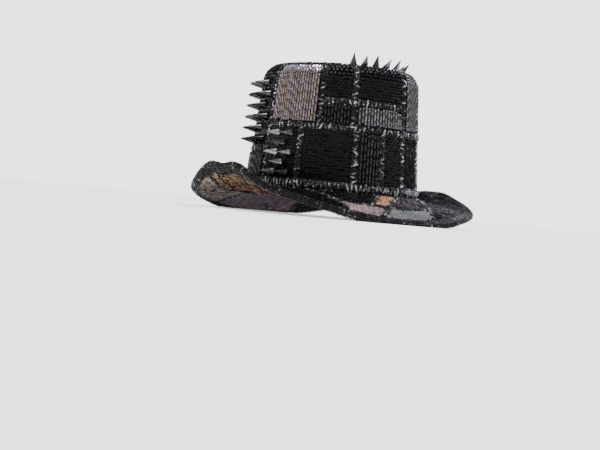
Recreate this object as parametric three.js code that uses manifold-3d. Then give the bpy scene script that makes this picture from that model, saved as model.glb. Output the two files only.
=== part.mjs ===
// A patchwork sequin top hat: a stiff oval crown and a brim that rolls up at the sides and
// dips at front and back, covered with patches of sequined cloth. Raised beaded braid hides
// every joint between two patches, and some patches carry metal spikes.
// Millimetres, +Z up. The hat stands on its brim at z = 0, its front faces -Y and the
// wearer's right is -X. A "turn" is an angle round the hat in degrees: 0 at the front,
// 90 at the wearer's right, -90 at the left and 180 at the back.
import * as THREE from 'three';
import { mergeVertices } from 'three/addons/utils/BufferGeometryUtils.js';
import Module from 'manifold-3d';

// Crown
const crownHalfLength = 100;
const crownHalfWidth = 85;
const crownHeight = 130;
const crownTaper = 8.5;
const crownCornerRadius = 14;
const crownWall = 2.5;

// Brim
const brimHalfLength = 146;
const brimHalfWidth = 133.5;
const brimSquareness = 2.6;
const brimThickness = 2.4;
const brimSeatWidth = 5;
const brimSideDip = 7;
const brimEaseStart = 0.6;

// Height of the brim's edge above the crown's base at the wearer's right and left, as shares
// of the drop at the front. The back is the same as the front.
const brimDrop = 23.5;
const brimEdge = [
  { turn: 0, right: -1.0, left: -1.0 },
  { turn: 22, right: -0.88, left: -0.82 },
  { turn: 36, right: -0.56, left: -0.53 },
  { turn: 47, right: -0.28, left: -0.35 },
  { turn: 55, right: -0.1, left: -0.21 },
  { turn: 63, right: 0.16, left: 0.0 },
  { turn: 71, right: 0.55, left: 0.2 },
  { turn: 80, right: 0.86, left: 0.44 },
  { turn: 90, right: 0.79, left: 0.5 },
];

// Trimmings
const crownGap = 0.3;
const brimGap = 0.5;
const sideGap = 0.4;
const patchThickness = 1.6;
const seamWidth = 7.5;
const brimSeamWidth = 5;
const seamThickness = 2.6;
const hemBottom = 2.9;
const hemWidth = 8.5;
const hemThickness = 3.4;
const bindingLip = 4.2;
const bindingThickness = 1.9;
const restFlattening = 3;
const restWall = 1;

// Spikes
const spikeLength = 15;
const spikeBaseRadius = 4.3;
const spikePitch = 18;
const spikeRowClose = 9;
const spikeRowWide = 12;
const spikeRoot = 0.8;
const spikeSides = 6;

// Facets
const stationCount = 26;
const cornerSteps = 3;

const wasm = await Module();
wasm.setup();

const degrees = THREE.MathUtils.degToRad;
const lerp = THREE.MathUtils.lerp;

// Solids from rings of points

function geometryOf(points, triangles) {
  const geometry = new THREE.BufferGeometry();
  const flat = points.flatMap((p) => [p.x, p.y, p.z]);
  geometry.setAttribute('position', new THREE.Float32BufferAttribute(flat, 3));
  geometry.setIndex(triangles);
  return facingOut(geometry);
}

function facingOut(geometry) {
  const { position } = geometry.attributes;
  const index = geometry.index.array;
  const [a, b, c] = [new THREE.Vector3(), new THREE.Vector3(), new THREE.Vector3()];
  let volume = 0;
  for (let i = 0; i < index.length; i += 3) {
    a.fromBufferAttribute(position, index[i]);
    b.fromBufferAttribute(position, index[i + 1]);
    c.fromBufferAttribute(position, index[i + 2]);
    volume += a.dot(b.cross(c));
  }
  if (volume < 0) {
    for (let i = 0; i < index.length; i += 3) {
      [index[i + 1], index[i + 2]] = [index[i + 2], index[i + 1]];
    }
  }
  return geometry;
}

// The two triangles of a quad a, b, c, d, split along its shorter diagonal.
function quadTriangles(points, a, b, c, d) {
  const acrossAC = points[a].distanceTo(points[c]);
  const acrossBD = points[b].distanceTo(points[d]);
  return acrossAC < acrossBD - 1e-6 ? [a, b, c, a, c, d] : [a, b, d, b, c, d];
}

// Joins rings of equally many points. A ring of one point closes an end, and closed rings
// join the last ring to the first. Ends of two rows of points, fold in each, are closed by a
// strip between the rows.
function loft(rings, closed = false, fold = 0) {
  const points = rings.flat();
  const starts = rings.map((_, i) => rings.slice(0, i).flat().length);
  const triangles = [];
  const pairs = closed ? rings.length : rings.length - 1;
  for (let i = 0; i < pairs; i++) {
    const j = (i + 1) % rings.length;
    const count = Math.max(rings[i].length, rings[j].length);
    const here = (k) => starts[i] + (k % rings[i].length);
    const next = (k) => starts[j] + (k % rings[j].length);
    for (let k = 0; k < count; k++) {
      if (rings[i].length === 1) triangles.push(here(k), next(k + 1), next(k));
      else if (rings[j].length === 1) triangles.push(here(k), here(k + 1), next(k));
      else triangles.push(...quadTriangles(points, here(k), here(k + 1), next(k + 1), next(k)));
    }
  }
  if (fold && !closed) {
    for (const end of [0, points.length - 2 * fold]) {
      for (let k = 0; k < fold - 1; k++) {
        const strip = quadTriangles(
          points, end + k, end + k + 1, end + 2 * fold - 2 - k, end + 2 * fold - 1 - k,
        );
        triangles.push(...(end ? strip : strip.reverse()));
      }
    }
  }
  return geometryOf(points, triangles);
}

// A sheet of cloth on a surface, from its low lift to its high one. across and along are the
// lines of its grid, and point(across, along, lift) gives a place off the surface. A sheet
// that goes all the way round joins up with itself.
function clothSheet(point, across, along, low, high) {
  const closed = Math.abs(across.at(-1) - across[0] - 360) < 1e-6;
  const columns = closed ? across.slice(0, -1) : across;
  const rings = columns.map((turn) => [
    ...along.map((place) => point(turn, place, high)),
    ...along.map((place) => point(turn, place, low)).reverse(),
  ]);
  return loft(rings, closed, along.length);
}

function solidOf(geometry) {
  const bare = geometry.index ? geometry.toNonIndexed() : geometry.clone();
  bare.deleteAttribute('normal');
  bare.deleteAttribute('uv');
  const merged = mergeVertices(bare, 1e-4);
  return new wasm.Manifold(new wasm.Mesh({
    numProp: 3,
    vertProperties: new Float32Array(merged.attributes.position.array),
    triVerts: new Uint32Array(merged.index.array),
  }));
}

function geometryFrom(solid) {
  const mesh = solid.getMesh();
  const geometry = new THREE.BufferGeometry();
  geometry.setAttribute('position', new THREE.BufferAttribute(mesh.vertProperties, 3));
  geometry.setIndex(new THREE.BufferAttribute(mesh.triVerts, 1));
  return geometry;
}

function unionOf(solids) {
  return solids.reduce((whole, solid) => whole.add(solid));
}

// Surfaces

const stationStep = 360 / stationCount;
const stations = Array.from({ length: stationCount }, (_, i) => -180 + i * stationStep);

// Every piece keeps to the same facets: between two stations and two rows, a place lies on
// the straight lines that join them.
function onFacets(point, rows) {
  return (turn, along, lift) => {
    const left = Math.floor(turn / stationStep + 1e-9) * stationStep;
    const above = rows.findIndex((row) => row >= along);
    const next = above < 0 ? rows.length - 1 : Math.max(1, above);
    const [low, high] = [rows[next - 1], rows[next]];
    const column = (at) => point(at, low, lift)
      .lerp(point(at, high, lift), (along - low) / (high - low));
    return column(left).lerp(column(left + stationStep), (turn - left) / stationStep);
  };
}

function ovalPoint(turn, halfLength, halfWidth, height) {
  const angle = degrees(turn);
  return new THREE.Vector3(-halfWidth * Math.sin(angle), -halfLength * Math.cos(angle), height);
}

// The crown's outline: how far it draws in, how high it is, and how far its face looks up,
// at a run measured up the side, round the corner and onto the tip.
const crownSideRun = crownHeight - crownCornerRadius;
const crownRun = crownSideRun + (crownCornerRadius * Math.PI) / 2;

function crownOutline(run) {
  if (run <= crownSideRun) {
    return { inset: (crownTaper * run) / crownSideRun, height: run, look: 0 };
  }
  const look = (run - crownSideRun) / crownCornerRadius;
  return {
    inset: crownTaper + crownCornerRadius * (1 - Math.cos(look)),
    height: crownSideRun + crownCornerRadius * Math.sin(look),
    look,
  };
}

function brimEdgeShare(turn) {
  const side = Math.sin(degrees(turn)) > 0 ? 'right' : 'left';
  const wrapped = ((turn % 180) + 180) % 180;
  const quarter = Math.min(wrapped, 180 - wrapped);
  const next = Math.max(1, brimEdge.findIndex((row) => row.turn >= quarter));
  const [low, high] = [brimEdge[next - 1], brimEdge[next]];
  const t = (quarter - low.turn) / (high.turn - low.turn);
  const slope = (i) => {
    if (i <= 0 || i >= brimEdge.length - 1) return 0;
    const [before, after] = [brimEdge[i - 1], brimEdge[i + 1]];
    return (after[side] - before[side]) / (after.turn - before.turn);
  };
  const span = high.turn - low.turn;
  const [m0, m1] = [slope(next - 1) * span, slope(next) * span];
  const [t2, t3] = [t * t, t * t * t];
  return (2 * t3 - 3 * t2 + 1) * low[side] + (t3 - 2 * t2 + t) * m0
    + (3 * t2 - 2 * t3) * high[side] + (t3 - t2) * m1;
}

// The middle of the brim's thickness, 0 below the crown's base. share runs from -1 at the
// head opening to 0 at the seat's edge and 1 at the brim's edge.
function brimMiddle(turn, share) {
  const angle = degrees(turn);
  const seatLength = crownHalfLength + brimSeatWidth;
  const seatWidth = crownHalfWidth + brimSeatWidth;
  if (share < 0) {
    const inset = -share * (brimSeatWidth + crownWall);
    return ovalPoint(turn, seatLength - inset, seatWidth - inset, -brimThickness / 2);
  }
  const [sine, cosine] = [Math.abs(Math.sin(angle)), Math.abs(Math.cos(angle))];
  const reach = (sine ** brimSquareness + cosine ** brimSquareness) ** (-1 / brimSquareness);
  const ease = brimEaseStart * share + (1 - brimEaseStart) * share * share;
  const dip = brimSideDip * sine ** 4 * 4 * share * (1 - share);
  return ovalPoint(
    turn,
    lerp(seatLength, brimHalfLength * reach, share),
    lerp(seatWidth, brimHalfWidth * reach, share),
    brimEdgeShare(turn) * brimDrop * ease - dip - brimThickness / 2,
  );
}

function brimNormal(turn, share) {
  const step = 1e-3;
  const round = brimMiddle(turn + 0.1, share).sub(brimMiddle(turn - 0.1, share));
  const out = brimMiddle(turn, share + step).sub(brimMiddle(turn, share - step));
  return round.cross(out).normalize();
}

const brimRun = brimHalfLength - crownHalfLength - brimSeatWidth;
const lipShare = 1 - bindingLip / brimRun;
const brimRows = [-1, 0, 0.3, 0.6, lipShare, 1];

const brimBelowCrown = onFacets(
  (turn, share, lift) => brimMiddle(turn, share).addScaledVector(brimNormal(turn, share), lift),
  brimRows,
);

// The binding wraps the brim's edge. Its section, from the upper lip round the edge to the
// lower lip and back along the brim, as shares of the brim's run and lifts off its middle.
const noseStart = 1 + brimGap / brimRun;
const noseEnd = noseStart + bindingThickness / brimRun;
const bindingInside = brimThickness / 2 + brimGap;
const bindingOutside = bindingInside + bindingThickness;
const bindingSection = [
  { share: lipShare, lift: bindingInside },
  { share: lipShare, lift: bindingOutside },
  { share: noseStart, lift: bindingOutside },
  { share: noseEnd, lift: 0 },
  { share: noseStart, lift: -bindingOutside },
  { share: lipShare, lift: -bindingOutside },
  { share: lipShare, lift: -bindingInside },
  { share: noseStart, lift: -bindingInside },
  { share: noseStart, lift: bindingInside },
];

// The brim's lowest stretches at front and back flatten a little where they rest, the
// binding's outside onto the surface and what it wraps a wall above that.
const lowest = Math.min(...stations.flatMap((turn) =>
  bindingSection.map(({ share, lift }) => brimBelowCrown(turn, share, lift).z)));
const crownBase = -lowest - restFlattening;

function brimPoint(turn, share, lift) {
  const point = brimBelowCrown(turn, share, lift);
  const isInside = Math.abs(lift) <= bindingInside && share <= noseStart;
  const floor = isInside ? restWall + bindingInside + lift : 0;
  point.z = Math.max(floor, point.z + crownBase);
  return point;
}

const crownFoot = crownBase + crownGap;

const cornerRuns = Array.from(
  { length: cornerSteps + 1 }, (_, i) => lerp(crownSideRun, crownRun, i / cornerSteps),
);

const crownPoint = onFacets((turn, run, lift) => {
  const { inset, height, look } = crownOutline(run);
  const out = lift * Math.cos(look) - inset;
  return ovalPoint(
    turn, crownHalfLength + out, crownHalfWidth + out, crownFoot + height + lift * Math.sin(look),
  );
}, [0, ...cornerRuns]);

// Finishes, as seen on the real thing

const finishes = {
  felt: { color: 0x141416, roughness: 0.95, metalness: 0 },
  braid: { color: 0x2a2a2c, roughness: 0.35, metalness: 0.4 },
  black_sequin: { color: 0x121214, roughness: 0.25, metalness: 0.3 },
  black_bugle: { color: 0x1b1b1e, roughness: 0.2, metalness: 0.3 },
  charcoal_sequin: { color: 0x3a3a3c, roughness: 0.3, metalness: 0.5 },
  grey_bugle: { color: 0x77767a, roughness: 0.3, metalness: 0.6 },
  silver_bugle: { color: 0x8d8682, roughness: 0.25, metalness: 0.8 },
  silver_sequin: { color: 0x9d97a6, roughness: 0.2, metalness: 0.9 },
  pearl_sequin: { color: 0x8f8797, roughness: 0.25, metalness: 0.7 },
  copper_sequin: { color: 0xa8663f, roughness: 0.3, metalness: 0.8 },
  gold_sequin: { color: 0x6e5230, roughness: 0.3, metalness: 0.8 },
  champagne_sequin: { color: 0x9a9080, roughness: 0.3, metalness: 0.8 },
  violet_sequin: { color: 0x5a5672, roughness: 0.3, metalness: 0.8 },
  teal_sequin: { color: 0x567a70, roughness: 0.3, metalness: 0.8 },
};
const materials = Object.fromEntries(Object.entries(finishes).map(
  ([name, look]) => [name, new THREE.MeshStandardMaterial({ name, ...look })],
));

const hat = new THREE.Group();
hat.name = 'sequin_top_hat';

function addPiece(name, geometry, finish) {
  const mesh = new THREE.Mesh(geometry, materials[finish]);
  mesh.name = name;
  hat.add(mesh);
}

// Crown and brim

function ringAt(point, share, lift) {
  return stations.map((turn) => point(turn, share, lift));
}

function crownShell() {
  const runs = [0, ...cornerRuns];
  const top = crownFoot + crownHeight;
  const outside = runs.map((run) => ringAt(crownPoint, run, 0));
  const inside = runs.map((run) => ringAt(crownPoint, run, -crownWall));
  return loft([
    [new THREE.Vector3(0, 0, top)],
    ...outside.reverse(),
    ...inside,
    [new THREE.Vector3(0, 0, top - crownWall)],
  ]);
}

function brimShell() {
  const upper = brimRows.map((share) => ringAt(brimPoint, share, brimThickness / 2));
  const lower = brimRows.map((share) => ringAt(brimPoint, share, -brimThickness / 2));
  return loft([...upper, ...lower.reverse()], true);
}

addPiece('crown', crownShell(), 'felt');
addPiece('brim', brimShell(), 'felt');
addPiece(
  'edge_binding',
  loft(bindingSection.map(({ share, lift }) => ringAt(brimPoint, share, lift)), true),
  'braid',
);

const hemTop = hemBottom + hemWidth;
const hemSection = [
  { run: hemBottom, lift: crownGap },
  { run: hemBottom, lift: crownGap + hemThickness * 0.75 },
  { run: (hemBottom + hemTop) / 2, lift: crownGap + hemThickness },
  { run: hemTop, lift: crownGap + hemThickness * 0.75 },
  { run: hemTop, lift: crownGap },
];
addPiece(
  'hem_braid',
  loft(hemSection.map(({ run, lift }) => ringAt(crownPoint, run, lift)), true),
  'braid',
);

// Patchwork. A sheet of cloth is cut apart by bars that stand along its seams: what the bars
// leave is the patches, and a thicker sheet's part inside the bars is the net of braid.

function patchwork({ cloth, bars, patches, braid, width }) {
  const cut = bars(width + 2 * sideGap);
  const pieces = cloth(patchThickness).subtract(cut).decompose();
  for (const { name, marker, finish, spikes = [] } of patches) {
    const piece = pieces.find((solid) => !solid.intersect(marker).isEmpty());
    addPiece(name, geometryFrom(unionOf([piece, ...spikes])), finish);
  }
  addPiece(braid, geometryFrom(cloth(seamThickness).intersect(bars(width))), 'braid');
}

// Lines of a grid from one place to another, with shared lines between them where these
// don't make slivers
function gridLines(from, to, shared, sliver) {
  const free = shared.filter((line) => line > from + sliver && line < to - sliver);
  return [from, ...free, to];
}

const stationsTwice = [...stations, ...stations.map((turn) => turn + 360)];
const sliverTurn = 0.5;
const sliverRun = 0.5;
const sliverShare = 0.03;
const barReach = 6;

// Degrees of turn that a width takes up on the crown
function turnOf(width, turn, run) {
  const step = 0.5;
  const length = crownPoint(turn + step, run, 0).distanceTo(crownPoint(turn - step, run, 0));
  return (width * 2 * step) / length;
}

const clothFoot = hemTop + sideGap;
const crownCloth = (thickness) => solidOf(clothSheet(
  crownPoint, [...stations, 180], [clothFoot, ...cornerRuns], crownGap, crownGap + thickness,
));

function crownBar(start, end, low, high) {
  return solidOf(clothSheet(
    crownPoint,
    gridLines(start, end, stationsTwice, sliverTurn),
    gridLines(low, high, cornerRuns, sliverRun),
    -barReach,
    barReach,
  ));
}

// Heights of the crown's level seams
const levels = {
  foot: clothFoot - 1,
  low: crownHeight * 0.32,
  back: crownHeight * 0.45,
  middle: crownHeight * 0.515,
  high: crownHeight * 0.715,
  top: crownRun - seamWidth / 2,
};

const uprights = [
  { turn: 89.5, from: 'foot', to: 'top' },
  { turn: 61.5, from: 'foot', to: 'middle' },
  { turn: 49.5, from: 'middle', to: 'top' },
  { turn: 26.5, from: 'middle', to: 'top' },
  { turn: 23.5, from: 'foot', to: 'middle' },
  { turn: 4, from: 'foot', to: 'middle' },
  { turn: -14.5, from: 'foot', to: 'top' },
  { turn: -36, from: 'foot', to: 'top' },
  { turn: -90, from: 'foot', to: 'top' },
  { turn: -131, from: 'foot', to: 'top' },
  { turn: -172, from: 'foot', to: 'top' },
  { turn: 141, from: 'foot', to: 'top' },
];

const crossings = [
  { level: 'middle', start: -90, end: 89.5 },
  { level: 'high', start: -14.5, end: 49.5 },
  { level: 'high', start: -131, end: -90 },
  { level: 'back', start: -172, end: -131 },
  { level: 'middle', start: 141, end: 188 },
  { level: 'low', start: 89.5, end: 141 },
];

function crownBars(width) {
  const half = width / 2;
  const upright = uprights.map(({ turn, from, to }) => {
    const halfTurn = turnOf(half, turn, levels.middle);
    return crownBar(turn - halfTurn, turn + halfTurn, levels[from], levels[to]);
  });
  const crossing = crossings.map(({ level, start, end }) => (
    crownBar(start, end, levels[level] - half, levels[level] + half)
  ));
  const ring = crownBar(-180, 180, levels.top - half, crownRun + 1);
  return unionOf([ring, ...upright, ...crossing]);
}

// Spikes are cones that stand off a patch in staggered rows.
const spikeGeometry = new THREE.ConeGeometry(
  spikeBaseRadius, spikeLength + spikeRoot, spikeSides,
);
spikeGeometry.translate(0, (spikeLength + spikeRoot) / 2 - spikeRoot, 0);

function spikeAt(foot, direction) {
  const turned = new THREE.Quaternion().setFromUnitVectors(
    new THREE.Vector3(0, 1, 0), direction.clone().normalize(),
  );
  const matrix = new THREE.Matrix4().compose(foot, turned, new THREE.Vector3(1, 1, 1));
  return solidOf(spikeGeometry.clone().applyMatrix4(matrix));
}

const patchTop = crownGap + patchThickness;

function crownSpikes({ start, end, low, high, rowPitch }) {
  const middle = (low + high) / 2;
  const width = (end - start) / turnOf(1, (start + end) / 2, middle);
  const columns = Math.max(1, Math.round(width / spikePitch));
  const rows = Math.max(1, Math.round((high - low) / rowPitch));
  const spikes = [];
  for (let row = 0; row <= rows; row++) {
    const odd = row % 2;
    for (let column = 0; column <= columns - odd; column++) {
      const turn = lerp(start, end, (column + odd / 2) / columns);
      const run = lerp(low, high, row / rows);
      const foot = crownPoint(turn, run, patchTop);
      spikes.push(spikeAt(foot, crownPoint(turn, run, patchTop + 1).sub(foot)));
    }
  }
  return spikes;
}

const spikeMargin = spikeBaseRadius + 1;
const spikedFront = {
  start: 70,
  end: 81,
  low: clothFoot + spikeMargin,
  high: levels.middle - seamWidth / 2 - spikeMargin - sideGap,
  rowPitch: spikeRowClose,
};
const spikedRight = {
  start: 98,
  end: 132,
  low: levels.low + seamWidth / 2 + spikeMargin + sideGap,
  high: crownSideRun - spikeMargin,
  rowPitch: spikeRowWide,
};

const crownPatches = [
  { name: 'patch_spiked_front', turn: 76, height: 0.3, finish: 'black_sequin', field: spikedFront },
  { name: 'patch_black_front', turn: 44, height: 0.3, finish: 'black_sequin' },
  { name: 'patch_rows_front', turn: 15, height: 0.3, finish: 'black_bugle' },
  { name: 'patch_black_narrow', turn: -5, height: 0.3, finish: 'black_sequin' },
  { name: 'patch_silver_tall', turn: 70, height: 0.8, finish: 'silver_bugle' },
  { name: 'patch_black_strip', turn: 39, height: 0.59, finish: 'black_bugle' },
  { name: 'patch_black_top', turn: 39, height: 0.8, finish: 'black_sequin' },
  { name: 'patch_grey_strip', turn: 6, height: 0.59, finish: 'grey_bugle' },
  { name: 'patch_black_centre', turn: 6, height: 0.8, finish: 'black_sequin' },
  { name: 'patch_charcoal_left', turn: -25, height: 0.3, finish: 'charcoal_sequin' },
  { name: 'patch_grey_left', turn: -25, height: 0.8, finish: 'grey_bugle' },
  { name: 'patch_silver_left', turn: -70, height: 0.3, finish: 'silver_sequin' },
  { name: 'patch_black_left', turn: -70, height: 0.8, finish: 'black_sequin' },
  { name: 'patch_black_back_left', turn: -110, height: 0.3, finish: 'black_sequin' },
  { name: 'patch_silver_back_left', turn: -110, height: 0.8, finish: 'silver_bugle' },
  { name: 'patch_grey_back', turn: -150, height: 0.3, finish: 'grey_bugle' },
  { name: 'patch_black_back', turn: -150, height: 0.8, finish: 'black_sequin' },
  { name: 'patch_charcoal_back', turn: 165, height: 0.3, finish: 'charcoal_sequin' },
  { name: 'patch_black_back_right', turn: 165, height: 0.8, finish: 'black_sequin' },
  { name: 'patch_bugle_right', turn: 115, height: 0.2, finish: 'black_bugle' },
  { name: 'patch_spiked_right', turn: 115, height: 0.6, finish: 'black_sequin', field: spikedRight },
];

patchwork({
  cloth: crownCloth,
  bars: crownBars,
  width: seamWidth,
  braid: 'crown_braid',
  patches: crownPatches.map(({ name, turn, height, finish, field }) => ({
    name,
    finish,
    marker: crownBar(turn - 1, turn + 1, crownHeight * height - 1, crownHeight * height + 1),
    spikes: field ? crownSpikes(field) : [],
  })),
});

// Tip of the crown: flat patches and a braid over their joints

const tipHeight = crownFoot + crownHeight + crownGap;
const tipInset = crownTaper + crownCornerRadius + sideGap;
const tipSeams = { across: -0.12, front: -0.42, back: 0.12 };

function tipSlab(thickness) {
  const slab = new THREE.CylinderGeometry(1, 1, thickness, stationCount);
  slab.rotateX(Math.PI / 2);
  slab.scale(crownHalfWidth - tipInset, crownHalfLength - tipInset, 1);
  slab.translate(0, 0, tipHeight + thickness / 2);
  return solidOf(slab);
}

function block(x0, x1, y0, y1) {
  const tall = 20;
  const box = new THREE.BoxGeometry(x1 - x0, y1 - y0, tall);
  box.translate((x0 + x1) / 2, (y0 + y1) / 2, tipHeight);
  return solidOf(box);
}

const tipEdge = crownHalfLength;
const seamY = tipSeams.across * crownHalfLength;
const frontX = tipSeams.front * crownHalfWidth;
const backX = tipSeams.back * crownHalfWidth;
const tipPatches = [
  { name: 'tip_patch_spiked', x: [frontX, tipEdge], y: [-tipEdge, seamY], finish: 'black_sequin', spiked: true },
  { name: 'tip_patch_silver', x: [-tipEdge, frontX], y: [-tipEdge, seamY], finish: 'silver_bugle' },
  { name: 'tip_patch_black', x: [backX, tipEdge], y: [seamY, tipEdge], finish: 'black_sequin' },
  { name: 'tip_patch_charcoal', x: [-tipEdge, backX], y: [seamY, tipEdge], finish: 'charcoal_sequin' },
];

function tipPatch({ x: [x0, x1], y: [y0, y1] }) {
  const inset = seamWidth / 2 + sideGap;
  return tipSlab(patchThickness).intersect(block(x0 + inset, x1 - inset, y0 + inset, y1 - inset));
}

// A row of spikes that lean out by various angles along the front edge of the spiked tip
// patch. Their feet end inside its cloth.
const tipSpikeTable = [
  { turn: 29, lean: 20 },
  { turn: 18, lean: 38 },
  { turn: 6, lean: 18 },
  { turn: -6, lean: 42 },
  { turn: -23, lean: 26 },
  { turn: -45, lean: 38 },
  { turn: -68, lean: 30 },
];
const tipSpikeInset = spikeBaseRadius + 0.6;

function tipSpikes() {
  return tipSpikeTable.map(({ turn, lean }) => {
    const foot = ovalPoint(
      turn,
      crownHalfLength - tipInset - tipSpikeInset,
      crownHalfWidth - tipInset - tipSpikeInset,
      tipHeight + patchThickness,
    );
    const direction = ovalPoint(turn, 1, 1, 1 / Math.tan(degrees(lean)));
    return spikeAt(foot, direction).trimByPlane([0, 0, 1], tipHeight + patchThickness / 2);
  });
}

for (const patch of tipPatches) {
  const spikes = patch.spiked ? tipSpikes() : [];
  addPiece(patch.name, geometryFrom(unionOf([tipPatch(patch), ...spikes])), patch.finish);
}

function tipBraid() {
  const half = seamWidth / 2;
  const strips = [
    block(-tipEdge, tipEdge, seamY - half, seamY + half),
    block(frontX - half, frontX + half, -tipEdge, seamY),
    block(backX - half, backX + half, seamY, tipEdge),
  ];
  return geometryFrom(tipSlab(seamThickness).intersect(unionOf(strips)));
}

addPiece('tip_braid', tipBraid(), 'braid');

// Patchwork on the brim. Its seams are straight on the plan, and places on it are a turn and
// a share of its run.

const underStart = 0.01;
const topStart = -0.55;
const clothEnd = lipShare - sideGap / brimRun;
const tall = 120;

const planPoint = (turn, share, height) => {
  const point = brimPoint(turn, share, 0);
  point.z = height;
  return point;
};

function radialBar({ from, to }, width) {
  const start = planPoint(from.turn, from.share, 0);
  const end = planPoint(to.turn, to.share, 0);
  const run = end.clone().sub(start);
  const bar = new THREE.BoxGeometry(run.length(), width, tall);
  bar.rotateZ(Math.atan2(run.y, run.x));
  bar.translate((start.x + end.x) / 2, (start.y + end.y) / 2, 0);
  return solidOf(bar);
}

function arcBar({ low, high, start, end }, width) {
  const half = width / 2 / brimRun;
  const turns = gridLines(start, end, stationsTwice, sliverTurn);
  return solidOf(clothSheet(planPoint, turns, [low - half, high + half], -tall / 2, tall / 2));
}

// side is 1 for the brim's top and -1 for its underside.
function brimPatchwork({ side, from, radials, arcs, patches, braid }) {
  const along = gridLines(from, clothEnd, brimRows, sliverShare);
  const lift = brimThickness / 2 + brimGap;
  const cloth = (thickness) => {
    const [low, high] = [side * lift, side * (lift + thickness)].sort((a, b) => a - b);
    return solidOf(clothSheet(brimPoint, [...stations, 180], along, low, high));
  };
  const bars = (width) => unionOf([
    ...radials.map((seam) => radialBar(seam, width)),
    ...arcs.map((seam) => arcBar(seam, width)),
  ]);
  const marked = patches.map(({ name, turn, share, finish }) => ({
    name,
    finish,
    marker: radialBar({ from: { turn, share }, to: { turn, share: share + 0.02 } }, 1),
  }));
  patchwork({ cloth, bars, patches: marked, braid, width: brimSeamWidth });
}

// A seam from the crown to the edge, or to where it meets an arc
const seam = (inner, outer, reach = 1) => (
  { from: { turn: inner, share: 0 }, to: { turn: outer, share: reach } }
);
const topRing = { low: topStart, high: -brimSeamWidth / 2 / brimRun, start: -180, end: 180 };
const underRingShare = underStart + brimSeamWidth / 2 / brimRun;
const underRing = { low: underRingShare, high: underRingShare, start: -180, end: 180 };
const frontArc = 0.54;

brimPatchwork({
  side: 1,
  from: topStart,
  braid: 'brim_braid',
  radials: [
    seam(88, 84), seam(52, 27), seam(7, 16, frontArc), seam(-10, 14), seam(-32, -14),
    seam(-70, -62), seam(-110, -114), seam(-150, -144), seam(172, 174), seam(128, 124),
  ],
  arcs: [topRing, { low: frontArc, high: frontArc, start: -23, end: 38 }],
  patches: [
    { name: 'brim_black_right', turn: 66, share: 0.5, finish: 'black_sequin' },
    { name: 'brim_black_front', turn: 30, share: 0.3, finish: 'black_sequin' },
    { name: 'brim_copper_front', turn: 4, share: 0.3, finish: 'copper_sequin' },
    { name: 'brim_charcoal_front', turn: -15, share: 0.3, finish: 'charcoal_sequin' },
    { name: 'brim_pearl_front', turn: 25, share: 0.75, finish: 'pearl_sequin' },
    { name: 'brim_teal_front', turn: -2, share: 0.75, finish: 'teal_sequin' },
    { name: 'brim_gunmetal_left', turn: -45, share: 0.5, finish: 'charcoal_sequin' },
    { name: 'brim_charcoal_left', turn: -90, share: 0.5, finish: 'charcoal_sequin' },
    { name: 'brim_gold_left', turn: -130, share: 0.5, finish: 'gold_sequin' },
    { name: 'brim_black_back', turn: -165, share: 0.5, finish: 'black_sequin' },
    { name: 'brim_silver_back', turn: 150, share: 0.5, finish: 'silver_sequin' },
    { name: 'brim_charcoal_right', turn: 105, share: 0.5, finish: 'charcoal_sequin' },
  ],
});

brimPatchwork({
  side: -1,
  from: underStart,
  braid: 'under_braid',
  radials: [
    seam(40, 48), seam(80, 76), seam(112, 104), seam(150, 152),
    seam(-160, -164), seam(-108, -102), seam(-58, -62), seam(-10, -6),
  ],
  arcs: [underRing],
  patches: [
    { name: 'under_copper', turn: 62, share: 0.5, finish: 'copper_sequin' },
    { name: 'under_gold', turn: 94, share: 0.5, finish: 'gold_sequin' },
    { name: 'under_champagne', turn: 130, share: 0.5, finish: 'champagne_sequin' },
    { name: 'under_violet', turn: 175, share: 0.5, finish: 'violet_sequin' },
    { name: 'under_black_back', turn: -135, share: 0.5, finish: 'black_sequin' },
    { name: 'under_silver', turn: -85, share: 0.5, finish: 'silver_sequin' },
    { name: 'under_teal', turn: -35, share: 0.5, finish: 'teal_sequin' },
    { name: 'under_black_front', turn: 18, share: 0.5, finish: 'black_sequin' },
  ],
});

export default hat;
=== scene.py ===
# %% [markdown]
# # A sequin top hat
#
# The hat is a stiff felt body covered with patches of sequined and beaded cloth. Every joint
# between two patches hides under a raised braid of seed beads, and some patches carry metal
# spikes. The felt body came from CAD as faceted solids. This file puts the real surfaces on
# it: thousands of small sequins, beads and spikes, each with its own shape and shine. A bump
# texture could fake them, but only real shapes glint one by one and give a rough outline.
#
# Everything is in the CAD model's frame: metres, +Z up, the front of the hat faces -Y and the
# wearer's right is -X. A "turn" is an angle round the hat in degrees: 0 at the front, 90 at
# the wearer's right, -90 at the left and 180 at the back.

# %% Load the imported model
import math

import bpy
import numpy as np
from mathutils import Matrix, Vector


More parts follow.
